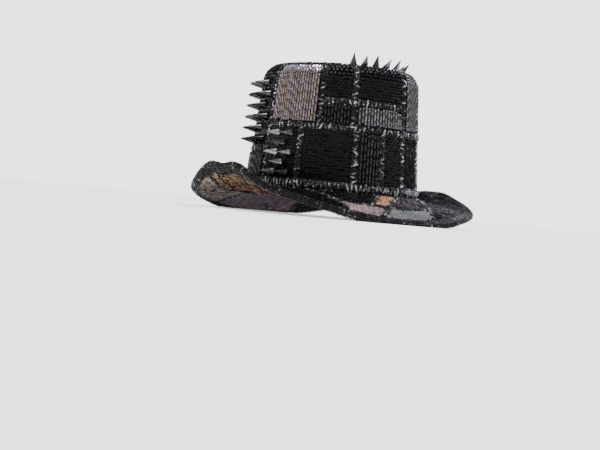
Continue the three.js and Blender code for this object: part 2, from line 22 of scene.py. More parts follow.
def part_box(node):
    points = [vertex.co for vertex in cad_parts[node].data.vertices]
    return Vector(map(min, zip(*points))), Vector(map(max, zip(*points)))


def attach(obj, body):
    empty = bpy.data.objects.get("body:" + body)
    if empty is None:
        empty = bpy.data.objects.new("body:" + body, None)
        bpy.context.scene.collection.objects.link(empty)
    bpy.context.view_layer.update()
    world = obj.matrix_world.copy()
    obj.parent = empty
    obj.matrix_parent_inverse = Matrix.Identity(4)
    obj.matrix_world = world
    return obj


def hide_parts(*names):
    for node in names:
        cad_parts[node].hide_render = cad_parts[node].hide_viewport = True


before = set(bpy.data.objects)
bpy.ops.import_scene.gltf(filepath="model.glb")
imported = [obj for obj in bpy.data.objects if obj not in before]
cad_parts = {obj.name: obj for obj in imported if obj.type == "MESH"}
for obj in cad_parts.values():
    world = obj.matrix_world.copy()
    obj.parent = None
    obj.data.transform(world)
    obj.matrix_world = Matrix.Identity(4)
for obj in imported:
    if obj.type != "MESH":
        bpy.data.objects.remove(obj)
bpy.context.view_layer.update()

# %% [markdown]
# ## Camera
#
# The photograph looks at the front right of the hat from a little below the brim, with a
# long lens and the horizon tilted a few degrees. A camera could be aimed by eye or by a
# constraint. Here it is set by an angle round the hat, an angle up and a roll, because these
# can be read off the picture one after another, and its shift puts the hat where it stands
# there. It stays above the floor, so it looks up a little less than the photograph does. The
# floor comes close below it, so the camera clips only what is nearer than a centimetre.

# %% Place the camera
picture_width = 600
picture_height = 450
camera_turn = math.radians(33)
camera_lift = math.radians(-0.5)
camera_roll = math.radians(5.2)
camera_distance = 1.5
focal_pixels = 1400
aim_pixel = (330.5, 194)
crown_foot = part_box("crown")[0][2]
aim = Vector((0, 0, crown_foot))


def camera_matrix(turn, lift, roll, distance, target):
    back = Vector((
        -math.sin(turn) * math.cos(lift),
        -math.cos(turn) * math.cos(lift),
        math.sin(lift),
    ))
    level = Vector((math.cos(turn), -math.sin(turn), 0))
    upright = back.cross(level)
    across = level * math.cos(roll) + upright * math.sin(roll)
    above = upright * math.cos(roll) - level * math.sin(roll)
    place = target + back * distance
    return Matrix((
        (across.x, above.x, back.x, place.x),
        (across.y, above.y, back.y, place.y),
        (across.z, above.z, back.z, place.z),
        (0, 0, 0, 1),
    ))


scene = bpy.context.scene
camera_data = bpy.data.cameras.new("camera")
camera = bpy.data.objects.new("camera", camera_data)
scene.collection.objects.link(camera)
camera_data.sensor_width = 36
camera_data.clip_start = 0.01
camera_data.lens = focal_pixels * camera_data.sensor_width / picture_width
camera_data.shift_x = (picture_width / 2 - aim_pixel[0]) / picture_width
camera_data.shift_y = (aim_pixel[1] - picture_height / 2) / picture_width
camera.matrix_world = camera_matrix(
    camera_turn, camera_lift, camera_roll, camera_distance, aim)
scene.camera = camera
print("camera height above the floor in mm:", round(camera.location.z * 1000, 1))

# %% [markdown]
# ## Studio
#
# A pale floor and a pale backdrop stand in for the white studio. Sequins are small mirrors,
# so the light matters as much as their colour. A picture of a studio could light them, but a
# few wide suns are easier to steer, and their light is the same all over the hat. The key
# comes from above the wearer's right front and makes some sequins flash. A weak fill lights
# the left, a light from high up draws the top edge, one from behind the left draws the
# outline, and a low one from the right reaches under the brim. What the mirrors see of the
# room is kept dim, or black sequins would look grey.

# %% Colours and node helper


def linear(hex_colour):
    """An sRGB hex colour as the linear values that a shader needs."""
    channels = [int(hex_colour[i:i + 2], 16) / 255 for i in (1, 3, 5)]
    bent = [c / 12.92 if c <= 0.04045 else ((c + 0.055) / 1.055) ** 2.4 for c in channels]
    return (*bent, 1)


def add_node(tree, kind, settings=None, inputs=None):
    node = tree.nodes.new(kind)
    for name, value in (settings or {}).items():
        setattr(node, name, value)
    for name, value in (inputs or {}).items():
        if isinstance(value, bpy.types.NodeSocket):
            tree.links.new(value, node.inputs[name])
        else:
            node.inputs[name].default_value = value
    return node


print("middle grey is", round(linear("#808080")[0], 3), "in linear light")

# %% Floor
floor_radius = 6
floor_sides = 64
floor_glow = 0.6
floor_points = [
    (
        floor_radius * math.cos(2 * math.pi * i / floor_sides),
        floor_radius * math.sin(2 * math.pi * i / floor_sides),
        0,
    )
    for i in range(floor_sides)
]
floor_mesh = bpy.data.meshes.new("floor")
floor_mesh.from_pydata(floor_points, [], [tuple(range(floor_sides))])
floor = bpy.data.objects.new("floor", floor_mesh)
scene.collection.objects.link(floor)

floor_paint = bpy.data.materials.new("matt white studio paint")
floor_paint.use_nodes = True
paint_shader = floor_paint.node_tree.nodes["Principled BSDF"]
paint_shader.inputs["Base Color"].default_value = linear("#f4f4f4")
paint_shader.inputs["Roughness"].default_value = 0.8
paint_shader.inputs["Emission Color"].default_value = linear("#ffffff")
paint_shader.inputs["Emission Strength"].default_value = floor_glow
floor_mesh.materials.append(floor_paint)
print("floor", 2 * floor_radius, "m across")

# %% Room and backdrop
# The camera sees a bright backdrop, and the sequins see a dim room that is a little brighter
# behind the hat.
backdrop_strength = 3.0
room_dim = 0.2
room_bright = 0.7
room_glow_starts = 0.45
room_glow_full = 0.85
room_glow_rise = 0.15
room = bpy.data.worlds.new("studio room")
scene.world = room
room.use_nodes = True
room_tree = room.node_tree
room_tree.nodes.clear()
seen_from_camera = add_node(room_tree, "ShaderNodeLightPath")
backdrop_light = add_node(room_tree, "ShaderNodeBackground", inputs={
    "Color": linear("#ffffff"),
    "Strength": backdrop_strength,
})
direction = add_node(room_tree, "ShaderNodeTexCoord").outputs["Generated"]
behind = add_node(room_tree, "ShaderNodeVectorMath", {"operation": "DOT_PRODUCT"}, {
    0: direction,
    1: (math.sin(camera_turn), math.cos(camera_turn), room_glow_rise),
}).outputs["Value"]
room_strength = add_node(room_tree, "ShaderNodeMapRange", inputs={
    "Value": behind,
    "From Min": room_glow_starts,
    "From Max": room_glow_full,
    "To Min": room_dim,
    "To Max": room_bright,
}).outputs[0]
room_light = add_node(room_tree, "ShaderNodeBackground", inputs={
    "Color": linear("#e8ecf4"),
    "Strength": room_strength,
})
room_mix = add_node(room_tree, "ShaderNodeMixShader", inputs={
    0: seen_from_camera.outputs["Is Camera Ray"],
    1: room_light.outputs[0],
    2: backdrop_light.outputs[0],
})
add_node(room_tree, "ShaderNodeOutputWorld", inputs={"Surface": room_mix.outputs[0]})
print("room strength from", room_dim, "to", room_bright)

# %% Lights


def add_sun(name, turn, height, strength, softness, colour):
    """A sun by its turn round the hat, its height above the floor and its width in degrees."""
    data = bpy.data.lights.new(name, "SUN")
    data.energy = strength
    data.angle = math.radians(softness)
    data.color = linear(colour)[:3]
    lamp = bpy.data.objects.new(name, data)
    towards = Vector((
        -math.sin(math.radians(turn)) * math.cos(math.radians(height)),
        -math.cos(math.radians(turn)) * math.cos(math.radians(height)),
        math.sin(math.radians(height)),
    ))
    lamp.rotation_euler = towards.to_track_quat("Z", "Y").to_euler()
    scene.collection.objects.link(lamp)


add_sun("key light", turn=50, height=62, strength=3.6, softness=30, colour="#fffaf2")
add_sun("fill light", turn=-45, height=50, strength=1.0, softness=35, colour="#f2f4ff")
add_sun("top light", turn=60, height=80, strength=2.0, softness=20, colour="#f4f2fc")
add_sun("outline light", turn=-125, height=35, strength=2.3, softness=20, colour="#ece8ff")
add_sun("low light", turn=115, height=7, strength=0.9, softness=30, colour="#fff4ea")

# %% [markdown]
# ## Surfaces of the felt body
#
# Cloth, braid and beads all lie on two surfaces: the crown and the brim. They could be
# snapped to the faceted solids, but then they would show the facets. So both surfaces are
# given by the same formulas as the CAD model, and here they are smooth. A place is a turn
# round the hat, a way along (up the crown's outline, or out over the brim as a share from 0
# to 1) and a lift off the felt in millimetres.

# %% Sizes in millimetres
mm = 0.001
crown_half_length = 100
crown_half_width = 85
crown_height = 130
crown_taper = 8.5
crown_corner_radius = 14
crown_wall = 2.5
crown_gap = 0.3
crown_side_run = crown_height - crown_corner_radius
crown_run = crown_side_run + crown_corner_radius * math.pi / 2
crown_base = crown_foot / mm - crown_gap

brim_half_length = 146
brim_half_width = 133.5
brim_squareness = 2.6
brim_thickness = 2.4
brim_gap = 0.5
brim_seat_width = 5
brim_side_dip = 7
brim_ease_start = 0.6
brim_drop = 23.5
brim_run = brim_half_length - crown_half_length - brim_seat_width
brim_edge_turns = [0, 22, 36, 47, 55, 63, 71, 80, 90]
brim_edge_right = [-1.0, -0.88, -0.56, -0.28, -0.1, 0.16, 0.55, 0.86, 0.79]
brim_edge_left = [-1.0, -0.82, -0.53, -0.35, -0.21, 0.0, 0.2, 0.44, 0.5]

binding_lip = 4.2
binding_thickness = 1.9
rest_wall = 1
seam_width = 7.5
brim_seam_width = 5
side_gap = 0.4
hem_bottom = 2.9
hem_top = 11.4
patch_thickness = 1.6
print("crown base above the floor in mm:", round(crown_base, 2))

# %% The crown as a function of turn, way along and lift


def oval(turn, half_length, half_width, height):
    angle = np.radians(turn)
    x = -half_width * np.sin(angle)
    y = -half_length * np.cos(angle)
    return np.stack([x, y, height + 0 * x], axis=-1)


def crown_point(turn, run, lift):
    turn, run, lift = np.broadcast_arrays(
        np.asarray(turn, float), np.asarray(run, float), np.asarray(lift, float))
    look = np.clip((run - crown_side_run) / crown_corner_radius, 0, math.pi / 2)
    side = np.minimum(run, crown_side_run)
    inset = crown_taper * side / crown_side_run + crown_corner_radius * (1 - np.cos(look))
    height = side + crown_corner_radius * np.sin(look)
    out = lift * np.cos(look) - inset
    place = oval(
        turn,
        crown_half_length + out,
        crown_half_width + out,
        crown_base + crown_gap + height + lift * np.sin(look),
    )
    return place * mm


print("top of the crown in mm:", round(float(crown_point(0, crown_run, 0)[2]) / mm, 1))

# %% The line of the brim's edge


def edge_line(turn, shares):
    """A smooth line through the shares at brim_edge_turns, mirrored into every quarter."""
    slopes = np.zeros(len(shares))
    for i in range(1, len(shares) - 1):
        rise = shares[i + 1] - shares[i - 1]
        slopes[i] = rise / (brim_edge_turns[i + 1] - brim_edge_turns[i - 1])
    wrapped = np.mod(turn, 180)
    quarter = np.minimum(wrapped, 180 - wrapped)
    index = np.clip(np.searchsorted(brim_edge_turns, quarter), 1, len(shares) - 1)
    stops = np.array(brim_edge_turns, float)
    heights = np.array(shares)
    span = stops[index] - stops[index - 1]
    t = (quarter - stops[index - 1]) / span
    ease_in = 2 * t**3 - 3 * t**2 + 1
    ease_out = 3 * t**2 - 2 * t**3
    return (
        ease_in * heights[index - 1]
        + (t**3 - 2 * t**2 + t) * slopes[index - 1] * span
        + ease_out * heights[index]
        + (t**3 - t**2) * slopes[index] * span
    )


def edge_share(turn):
    on_right = np.sin(np.radians(turn)) > 0
    return np.where(on_right, edge_line(turn, brim_edge_right), edge_line(turn, brim_edge_left))


print("edge at the right and left, as shares of the drop:", edge_share(90.0), edge_share(-90.0))

# %% The brim as a function of turn, share and lift


def brim_middle(turn, share):
    angle = np.radians(turn)
    sine = np.abs(np.sin(angle))
    cosine = np.abs(np.cos(angle))
    seat_length = crown_half_length + brim_seat_width
    seat_width = crown_half_width + brim_seat_width
    reach = (sine**brim_squareness + cosine**brim_squareness) ** (-1 / brim_squareness)
    inside = np.minimum(share, 0) * (brim_seat_width + crown_wall)
    outside = np.maximum(share, 0)
    ease = brim_ease_start * outside + (1 - brim_ease_start) * outside**2
    dip = brim_side_dip * sine**4 * 4 * outside * (1 - outside)
    return oval(
        turn,
        seat_length + inside + (brim_half_length * reach - seat_length) * outside,
        seat_width + inside + (brim_half_width * reach - seat_width) * outside,
        edge_share(turn) * brim_drop * ease - dip - brim_thickness / 2,
    )


def unit(vectors):
    return vectors / np.linalg.norm(vectors, axis=-1, keepdims=True)


def brim_point(turn, share, lift):
    """A place on the brim. Where it would sink into the floor, it lies flat on it."""
    turn, share, lift = np.broadcast_arrays(
        np.asarray(turn, float), np.asarray(share, float), np.asarray(lift, float))
    round_way = brim_middle(turn + 0.1, share) - brim_middle(turn - 0.1, share)
    out_way = brim_middle(turn, share + 0.001) - brim_middle(turn, share - 0.001)
    normal = unit(np.cross(round_way, out_way))
    place = brim_middle(turn, share) + normal * lift[..., None]
    inner = brim_thickness / 2 + brim_gap
    inside = (np.abs(lift) <= inner + 0.01) & (share <= 1 + brim_gap / brim_run + 0.001)
    floor_height = np.where(inside, rest_wall + inner + lift, 0)
    place[..., 2] = np.maximum(floor_height, place[..., 2] + crown_base)
    return place * mm


def top_of_brim(turn, share, lift):
    return brim_point(turn, share, brim_thickness / 2 + brim_gap + np.asarray(lift, float))


def under_brim(turn, share, lift):
    return brim_point(turn, share, -brim_thickness / 2 - brim_gap - np.asarray(lift, float))


print("lowest brim edge in mm:", round(float(brim_point(0, 1, 0)[2]) / mm, 1))

# %% The flat tip
tip_height = crown_base + crown_gap + crown_height + crown_gap
tip_inset = crown_taper + crown_corner_radius + side_gap
tip_half_width = crown_half_width - tip_inset
tip_half_length = crown_half_length - tip_inset


def tip_point(x, y, lift):
    x, y, lift = np.broadcast_arrays(
        np.asarray(x, float), np.asarray(y, float), np.asarray(lift, float))
    return np.stack([x, y, tip_height + lift], axis=-1) * mm


print("tip in mm:", round(2 * tip_half_width), "by", round(2 * tip_half_length))

# %% [markdown]
# ## Meshes from arrays
#
# A sequined hat is thousands of copies of a few small shapes. Geometry Nodes could scatter
# them, but rows of places are quicker to work out with numpy. Each small shape is modelled
# once, as a list of points and faces. Numpy then copies it to every place in one go, and the
# copies are joined into one mesh per patch. Each copy also gets a random number called
# "tone", kept on its points, which the materials read, so no two sequins shine quite alike.

# %% Build a Blender object from arrays
parts_made = []
root = "root"


def shape(points, faces, tone=0.5, slot=0):
    """Points in metres, blocks of faces with equally many corners, a tone and a material."""
    points = np.asarray(points, float)
    tones = np.broadcast_to(np.asarray(tone, float), (len(points),))
    return {"points": points, "faces": faces, "tone": tones, "slot": slot}


def build_piece(name, shapes, materials, nodes):
    """Joins shapes into one smooth object that takes the place of CAD nodes."""
    mesh = bpy.data.meshes.new(name)
    points = np.concatenate([s["points"] for s in shapes])
    mesh.vertices.add(len(points))
    mesh.vertices.foreach_set("co", points.astype(np.float32).ravel())
    corners = []
    sizes = []
    slots = []
    start = 0
    for part in shapes:
        for block in part["faces"]:
            block = np.asarray(block)
            corners.append((block + start).ravel())
            sizes.append(np.full(len(block), block.shape[1]))
            slots.append(np.full(len(block), part["slot"]))
        start += len(part["points"])
    corners = np.concatenate(corners)
    sizes = np.concatenate(sizes)
    mesh.loops.add(len(corners))
    mesh.polygons.add(len(sizes))
    starts = np.concatenate([[0], np.cumsum(sizes)[:-1]])
    mesh.polygons.foreach_set("loop_start", starts.astype(np.int32))
    mesh.polygons.foreach_set("vertices", corners.astype(np.int32))
    mesh.polygons.foreach_set("material_index", np.concatenate(slots).astype(np.int32))
    mesh.polygons.foreach_set("use_smooth", np.ones(len(sizes), bool))
    mesh.update(calc_edges=True)
    mesh.validate()
    tone = mesh.attributes.new("tone", "FLOAT", "POINT")
    tone.data.foreach_set("value", np.concatenate([s["tone"] for s in shapes]).astype(np.float32))
    for material in materials:
        mesh.materials.append(material)
    piece = bpy.data.objects.new(name, mesh)
    scene.collection.objects.link(piece)
    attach(piece, root)
    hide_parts(*nodes)
    triangles = int((sizes - 2).sum())
    parts_made.append((name, triangles))


print("pieces will ride on", root)

# %% Turned shapes


def turned(profile, sides):
    """Faces and points of a body turned round Z. Its profile is a list of (radius, height)."""
    angles = 2 * math.pi * np.arange(sides) / sides
    rings = [
        np.stack([r * np.cos(angles), r * np.sin(angles), np.full(sides, z)], axis=-1)
        for r, z in profile
    ]
    this = np.arange(sides)
    following = (this + 1) % sides
    bands = [
        np.stack([
            this + sides * k,
            following + sides * k,
            following + sides * (k + 1),
            this + sides * (k + 1),
        ], axis=-1)
        for k in range(len(rings) - 1)
    ]
    return np.concatenate(rings), np.concatenate(bands)


def capped(profile, sides):
    points, bands = turned(profile, sides)
    bottom = np.arange(sides)[None, ::-1]
    top = np.arange(sides)[None, :] + sides * (len(profile) - 1)
    return points, [bands, bottom, top]


print("turning helpers ready")

# %% Copies of a small shape


def copies(template, places, axes, tone, slot, stretch=None):
    """One copy of a small shape at each place, turned so that its X, Y, Z follow axes."""
    points, faces = template
    count = len(places)
    local = np.repeat(points[None] * mm, count, axis=0)
    if stretch is not None:
        local[:, :, 2] *= stretch[:, None]
    moved = places[:, None, :] + np.einsum("npk,nkj->npj", local, axes)
    offsets = np.arange(count)[:, None, None] * len(points)
    spread = [
        (np.asarray(block)[None] + offsets).reshape(-1, np.asarray(block).shape[1])
        for block in faces
    ]
    return shape(moved.reshape(-1, 3), spread, np.repeat(tone, len(points)), slot)


def tilted(axes, about_x, about_y):
    """Tips each copy about its own X and Y by angles in degrees."""
    x, y, z = axes[:, 0], axes[:, 1], axes[:, 2]
    a = np.radians(about_x)[:, None]
    y, z = y * np.cos(a) + z * np.sin(a), z * np.cos(a) - y * np.sin(a)
    b = np.radians(about_y)[:, None]
    x, z = x * np.cos(b) - z * np.sin(b), z * np.cos(b) + x * np.sin(b)
    return np.stack([x, y, z], axis=1)


print("copy helpers ready")

# %% Sheets and bodies of rings


def closed_sheet(top, bottom):
    """A sheet with thickness between two grids of points, closed along its four edges."""
    rows, columns = top.shape[:2]
    number = np.arange(rows * columns).reshape(rows, columns)
    under = number + rows * columns
    upper = np.stack(
        [number[:-1, :-1], number[1:, :-1], number[1:, 1:], number[:-1, 1:]], -1).reshape(-1, 4)
    lower = np.stack(
        [under[:-1, :-1], under[:-1, 1:], under[1:, 1:], under[1:, :-1]], -1).reshape(-1, 4)
    rim = np.concatenate([number[0], number[1:, -1], number[-1, -2::-1], number[-2:0:-1, 0]])
    following = np.roll(rim, -1)
    side = np.stack([rim, following, following + rows * columns, rim + rows * columns], -1)
    points = np.concatenate([top.reshape(-1, 3), bottom.reshape(-1, 3)])
    return shape(points, [upper, lower, side])


def joined_rings(rings, ends_meet=False):
    """A body from closed rings of equally many points. A ring of one point closes an end."""
    points = np.concatenate(rings)
    starts = np.cumsum([0] + [len(ring) for ring in rings])
    quads = []
    triangles = []
    bands = len(rings) if ends_meet else len(rings) - 1
    for i in range(bands):
        j = (i + 1) % len(rings)
        count = max(len(rings[i]), len(rings[j]))
        this = np.arange(count)
        following = (this + 1) % count
        near = this + starts[i]
        near_next = following + starts[i]
        far = this + starts[j]
        far_next = following + starts[j]
        if len(rings[i]) == 1:
            triangles.append(np.stack([0 * this + starts[i], far, far_next], -1))
        elif len(rings[j]) == 1:
            triangles.append(np.stack([near, 0 * this + starts[j], near_next], -1))
        else:
            quads.append(np.stack([near, far, far_next, near_next], -1))
    faces = [np.concatenate(quads)]
    if triangles:
        faces.append(np.concatenate(triangles))
    return shape(points, faces)


print("mesh helpers ready")

# %% [markdown]
# ## Black wool felt
#
# The body is fur or wool felt, steamed over a block and stiffened. Felt has no weave: it is
# a mat of fine fibres, so it looks matt and slightly cloudy, with a soft sheen at its edges.
# It shows inside the crown and along the inside edge of the brim. Hair strands could make
# the nap, but at this distance a noise in the bump and the colour is enough. Fibres are about
# 0.03 mm thick, too fine for this picture, so they are drawn as clumps about 0.6 mm wide.

# %% Material helpers


def new_material(name):
    material = bpy.data.materials.new(name)
    material.use_nodes = True
    tree = material.node_tree
    tree.nodes.clear()
    return material, tree


def finish_material(tree, inputs, height=None, depth=0.2, strength=0.5):
    settings = dict(inputs)
    if height is not None:
        bump = add_node(tree, "ShaderNodeBump", inputs={
            "Height": height,
            "Distance": depth * mm,
            "Strength": strength,
        })
        settings["Normal"] = bump.outputs[0]
    shader = add_node(tree, "ShaderNodeBsdfPrincipled", inputs=settings)
    add_node(tree, "ShaderNodeOutputMaterial", inputs={"Surface": shader.outputs[0]})


def colour_ramp(tree, amount, stops):
    ramp = add_node(tree, "ShaderNodeValToRGB", inputs={"Fac": amount})
    elements = ramp.color_ramp.elements
    for index, (place, colour) in enumerate(stops):
        element = elements[index] if index < 2 else elements.new(place)
        element.position = place
        element.color = linear(colour)
    return ramp.outputs[0]


print("material helpers ready")

# %% Wool felt
# Matt all over, as its fibres scatter the light, with a faint sheen at grazing angles.
felt_clump = 0.6
felt_cloud = 18
felt, felt_tree = new_material("black wool felt")
felt_place = add_node(felt_tree, "ShaderNodeTexCoord").outputs["Object"]
felt_fibres = add_node(felt_tree, "ShaderNodeTexNoise", inputs={
    "Vector": felt_place,
    "Scale": 1 / (felt_clump * mm),
    "Detail": 4.0,
    "Roughness": 0.7,
}).outputs[0]
felt_clouds = add_node(felt_tree, "ShaderNodeTexNoise", inputs={
    "Vector": felt_place,
    "Scale": 1 / (felt_cloud * mm),
    "Detail": 2.0,
}).outputs[0]
felt_mix = add_node(felt_tree, "ShaderNodeMath", {"operation": "MULTIPLY_ADD"}, {
    0: felt_fibres,
    1: 0.6,
    2: add_node(felt_tree, "ShaderNodeMath", {"operation": "MULTIPLY"}, {
        0: felt_clouds,
        1: 0.4,
    }).outputs[0],
}).outputs[0]
finish_material(felt_tree, {
    "Base Color": colour_ramp(felt_tree, felt_mix, [(0.3, "#0e0e10"), (0.7, "#222226")]),
    "Roughness": 0.95,
    "Sheen Weight": 0.25,
    "Sheen Roughness": 0.4,
}, felt_fibres, depth=0.3, strength=0.6)
print("made", felt.name)

# %% [markdown]
# ## Sequin film
#
# Sequins are punched from PET film, about 0.1 mm thick. Black ones are dyed and stay
# glassy. Silver, copper and the other bright ones have a metal layer under the clear film.
# So the film is modelled as a smooth plastic or metal with a thin clear coat. Each film could
# be a material tree of its own, but they differ only in numbers, so one recipe makes them
# all. The tone of each sequin shifts its colour a little, and a slow noise lets one patch run
# from one shade to another, as hand-mixed sequins do. PET has an IOR of about 1.57 and glass
# of about 1.5. Both keep the shader's own value, which is close. The mirror value is the
# shader's specular level, usually 0.5. Dark films and beads have less, or they would look
# grey in this strong light.
#
# Real scratches are a few hundredths of a millimetre wide. They are drawn 0.4 to 0.8 mm wide,
# as finer ones don't show.

# %% One recipe for films and beads


def glossy_finish(name, shades, patches=None, metal=0.0, roughness=0.2, patch_size=22,
                  coat=0.0, grain=0.5, mirror=0.5, blotch=0.55):
    """Shades run with the tone of each copy, patches with a noise patch_size mm wide."""
    material, tree = new_material(name)
    place = add_node(tree, "ShaderNodeTexCoord").outputs["Object"]
    tone = add_node(tree, "ShaderNodeAttribute", {"attribute_name": "tone"}).outputs["Fac"]
    count = len(shades) - 1
    stops = [(i / count, shade) for i, shade in enumerate(shades)]
    colour = colour_ramp(tree, tone, stops)
    if patches:
        clouds = add_node(tree, "ShaderNodeTexNoise", inputs={
            "Vector": place,
            "Scale": 1 / (patch_size * mm),
            "Detail": 2.0,
            "Roughness": 0.6,
        }).outputs[0]
        spread = [(0.36 + 0.28 * i / (len(patches) - 1), c) for i, c in enumerate(patches)]
        blotches = colour_ramp(tree, clouds, spread)
        colour = add_node(tree, "ShaderNodeMix", {"data_type": "RGBA", "blend_type": "MIX"}, {
            0: blotch,
            6: colour,
            7: blotches,
        }).outputs[2]
    scratches = add_node(tree, "ShaderNodeTexNoise", inputs={
        "Vector": place,
        "Scale": 1 / (grain * mm),
        "Detail": 3.0,
    }).outputs[0]
    dull = add_node(tree, "ShaderNodeMapRange", inputs={
        "Value": scratches,
        "To Min": max(0.03, roughness - 0.08),
        "To Max": roughness + 0.12,
    }).outputs[0]
    finish_material(tree, {
        "Base Color": colour,
        "Metallic": metal,
        "Roughness": dull,
        "Specular IOR Level": mirror,
        "Coat Weight": coat,
        "Coat Roughness": 0.08,
    }, scratches, depth=0.05, strength=0.25)
    return material


print("recipe ready")

# %% Sequin films
# Dyed right through: deep black, with small sharp glints.
black_film = glossy_finish(
    "dyed black PET sequin film", ["#030304", "#060607", "#0c0c0f"],
    roughness=0.2, mirror=0.08)
# Smoked, of mixed batches: a dull black with single grey sequins in it.
charcoal_film = glossy_finish(
    "smoked PET sequin film", ["#040404", "#070707", "#101010", "#2c2c2e", "#646468"],
    ["#080808", "#101010", "#301c24", "#181910"], roughness=0.5, mirror=0.03,
    patch_size=20, blotch=0.4)
# Silvered, with a lavender cast: a bright mirror that sparkles at every tilt.
silver_film = glossy_finish(
    "silvered PET sequin film", ["#6e687a", "#a8a2b8", "#eae6f6"],
    ["#8c869c", "#b0a9c2", "#d6d0e4"], metal=0.85, roughness=0.24, coat=0.2)
# Thinly metallised and milky: a soft mauve satin.
pearl_film = glossy_finish(
    "pearl PET sequin film", ["#3e3032", "#745c5a", "#9c8684"],
    ["#6e6052", "#745658", "#66505a", "#7e6866"], metal=0.5, roughness=0.48)
# Metallised and dyed: warm metal colours under a clear coat.
copper_film = glossy_finish(
    "coppered PET sequin film", ["#60402e", "#966c52", "#c09474"],
    ["#6e4c3e", "#a07050", "#b4845e", "#805844"], metal=0.7, roughness=0.4, coat=0.1)
gold_film = glossy_finish(
    "bronze PET sequin film", ["#0e0a05", "#46331b", "#947444"],
    ["#342c12", "#3e2c18", "#603c20", "#50281a"], metal=0.7, roughness=0.36, coat=0.1)
champagne_film = glossy_finish(
    "champagne PET sequin film", ["#1c1814", "#60564a", "#b4a896"],
    ["#665a48", "#6a3a30", "#463e58", "#706350"], metal=0.75, roughness=0.34, coat=0.1,
    patch_size=14)
# Dark metallised film: low glints that come out of the shade.
violet_film = glossy_finish(
    "violet PET sequin film", ["#100c0f", "#443642", "#827080"],
    ["#563a42", "#3c3448", "#60484e", "#282228"], metal=0.65, roughness=0.36, coat=0.1)
# Iridescent: its colour turns from mauve to teal and olive from place to place.
teal_film = glossy_finish(
    "teal PET sequin film", ["#2a302e", "#465450", "#6c7a74"],
    ["#4e4628", "#6c5a62", "#66585e", "#30594c", "#5c4a66", "#4e4628"], metal=0.5,
    roughness=0.46, patch_size=15, blotch=0.88)
print("made sequin films")

# %% [markdown]
# ## Glass beads, cloth and metal
#
# Bugle beads are short tubes cut from drawn glass cane. Silver-lined ones have a mirror
# inside the bore, so the whole bead shines. Seed beads are tumbled until they are round
# rings; the braid's are a dark, metallic-coated glass. All are smooth glass with a strong
# clear highlight. Clear glass with a mirror inside could be traced for real, but each bead is
# a few pixels long, so a partly metallic surface gives the same shine. The spikes are turned
# brass with a black nickel plating, and the cloth under the sequins is a plain black net.

# %% Glass, plating and net
# Opaque black glass: one thin highlight along each tube.
black_bugle_glass = glossy_finish(
    "black glass bugle bead", ["#060607", "#101012", "#2c2c30"],
    metal=0.3, roughness=0.24, coat=0.08, mirror=0.2)
# Lined glass: the whole tube shines, softened by the glass round it.
grey_bugle_glass = glossy_finish(
    "grey lined glass bugle bead", ["#1e1e20", "#3e3e40", "#6c6c6e"],
    ["#3c3a38", "#444446", "#505054"], metal=0.6, roughness=0.3, coat=0.2, patch_size=15)
silver_bugle_glass = glossy_finish(
    "silver-lined glass bugle bead", ["#383230", "#5c5452", "#847c7e"],
    ["#4c4c3c", "#64564c", "#625462", "#666462"], metal=0.7, roughness=0.3, coat=0.2,
    patch_size=13, blotch=0.65)
# Metal-coated glass: most beads nearly black, and some as bright as steel.
seed_glass = glossy_finish(
    "dark coated glass seed bead", ["#050505", "#0c0c0d", "#2a2a2c", "#6c6c70", "#b8b8be"],
    metal=0.5, roughness=0.3, coat=0.05, mirror=0.3)
# Polished metal, a little dulled: dark flanks with one long bright streak.
spike_plating = glossy_finish(
    "black nickel-plated brass", ["#222224", "#58585c", "#d6d6da"], metal=1.0,
    roughness=0.26, grain=0.8)
# Matt yarn and net: they show only as the dark between the beads.
braid_cord = glossy_finish(
    "black rayon braid cord", ["#060608", "#0e0e10"], roughness=0.55, grain=0.4, mirror=0.2)
net_cloth = glossy_finish(
    "black polyester net", ["#050506", "#0c0c0e"], roughness=0.6, grain=0.5, mirror=0.15)
print("materials:", len(bpy.data.materials))

# %% [markdown]
# ## Felt crown and brim
#
# The crown is one shell of felt, and the brim is one ring with a rounded edge. A subdivision
# surface could smooth the CAD solids, but it would shrink them. So the crown is built from
# rings of points that run up the outside, round the top edge, to the middle of the tip, and
# back down the inside, and the brim from rings round its section. Both replace the faceted
# CAD solids of the same name.

# %% Felt crown
round_count = 168
round_turns = np.arange(round_count) * 360 / round_count - 180
outline_runs = np.concatenate([
    np.linspace(0, crown_side_run, 22),
    np.linspace(crown_side_run, crown_run, 9)[1:],
])
top_middle = crown_point(0, crown_run, 0)[2]


def tip_rings(height, reach, shares):
    edge = oval(
        round_turns,
        crown_half_length - crown_taper - crown_corner_radius + reach,
        crown_half_width - crown_taper - crown_corner_radius + reach,
        0,
    ) * mm
    return [edge * share + np.array([0, 0, height]) for share in shares]


outside_rings = [crown_point(round_turns, run, 0) for run in outline_runs]
inside_rings = [crown_point(round_turns, run, -crown_wall) for run in outline_runs]
crown_rings = [
    np.array([[0, 0, top_middle]]),
    *tip_rings(top_middle, 0, [0.3, 0.6, 0.85]),
    *outside_rings[::-1],
    *inside_rings,
    *tip_rings(top_middle - crown_wall * mm, 0, [0.85, 0.6, 0.3]),
    np.array([[0, 0, top_middle - crown_wall * mm]]),
]
build_piece("felt_crown", [joined_rings(crown_rings)], [felt], ["crown"])
print("rings of the crown:", len(crown_rings))

# %% Felt brim
brim_shares = np.concatenate([[-1, -0.5], np.linspace(0, 1, 15)])
half_brim = brim_thickness / 2
brim_rings = [brim_point(round_turns, share, half_brim) for share in brim_shares]
brim_rings += [brim_point(round_turns, share, -half_brim) for share in brim_shares[::-1]]
build_piece("felt_brim", [joined_rings(brim_rings, ends_meet=True)], [felt], ["brim"])
print(parts_made)

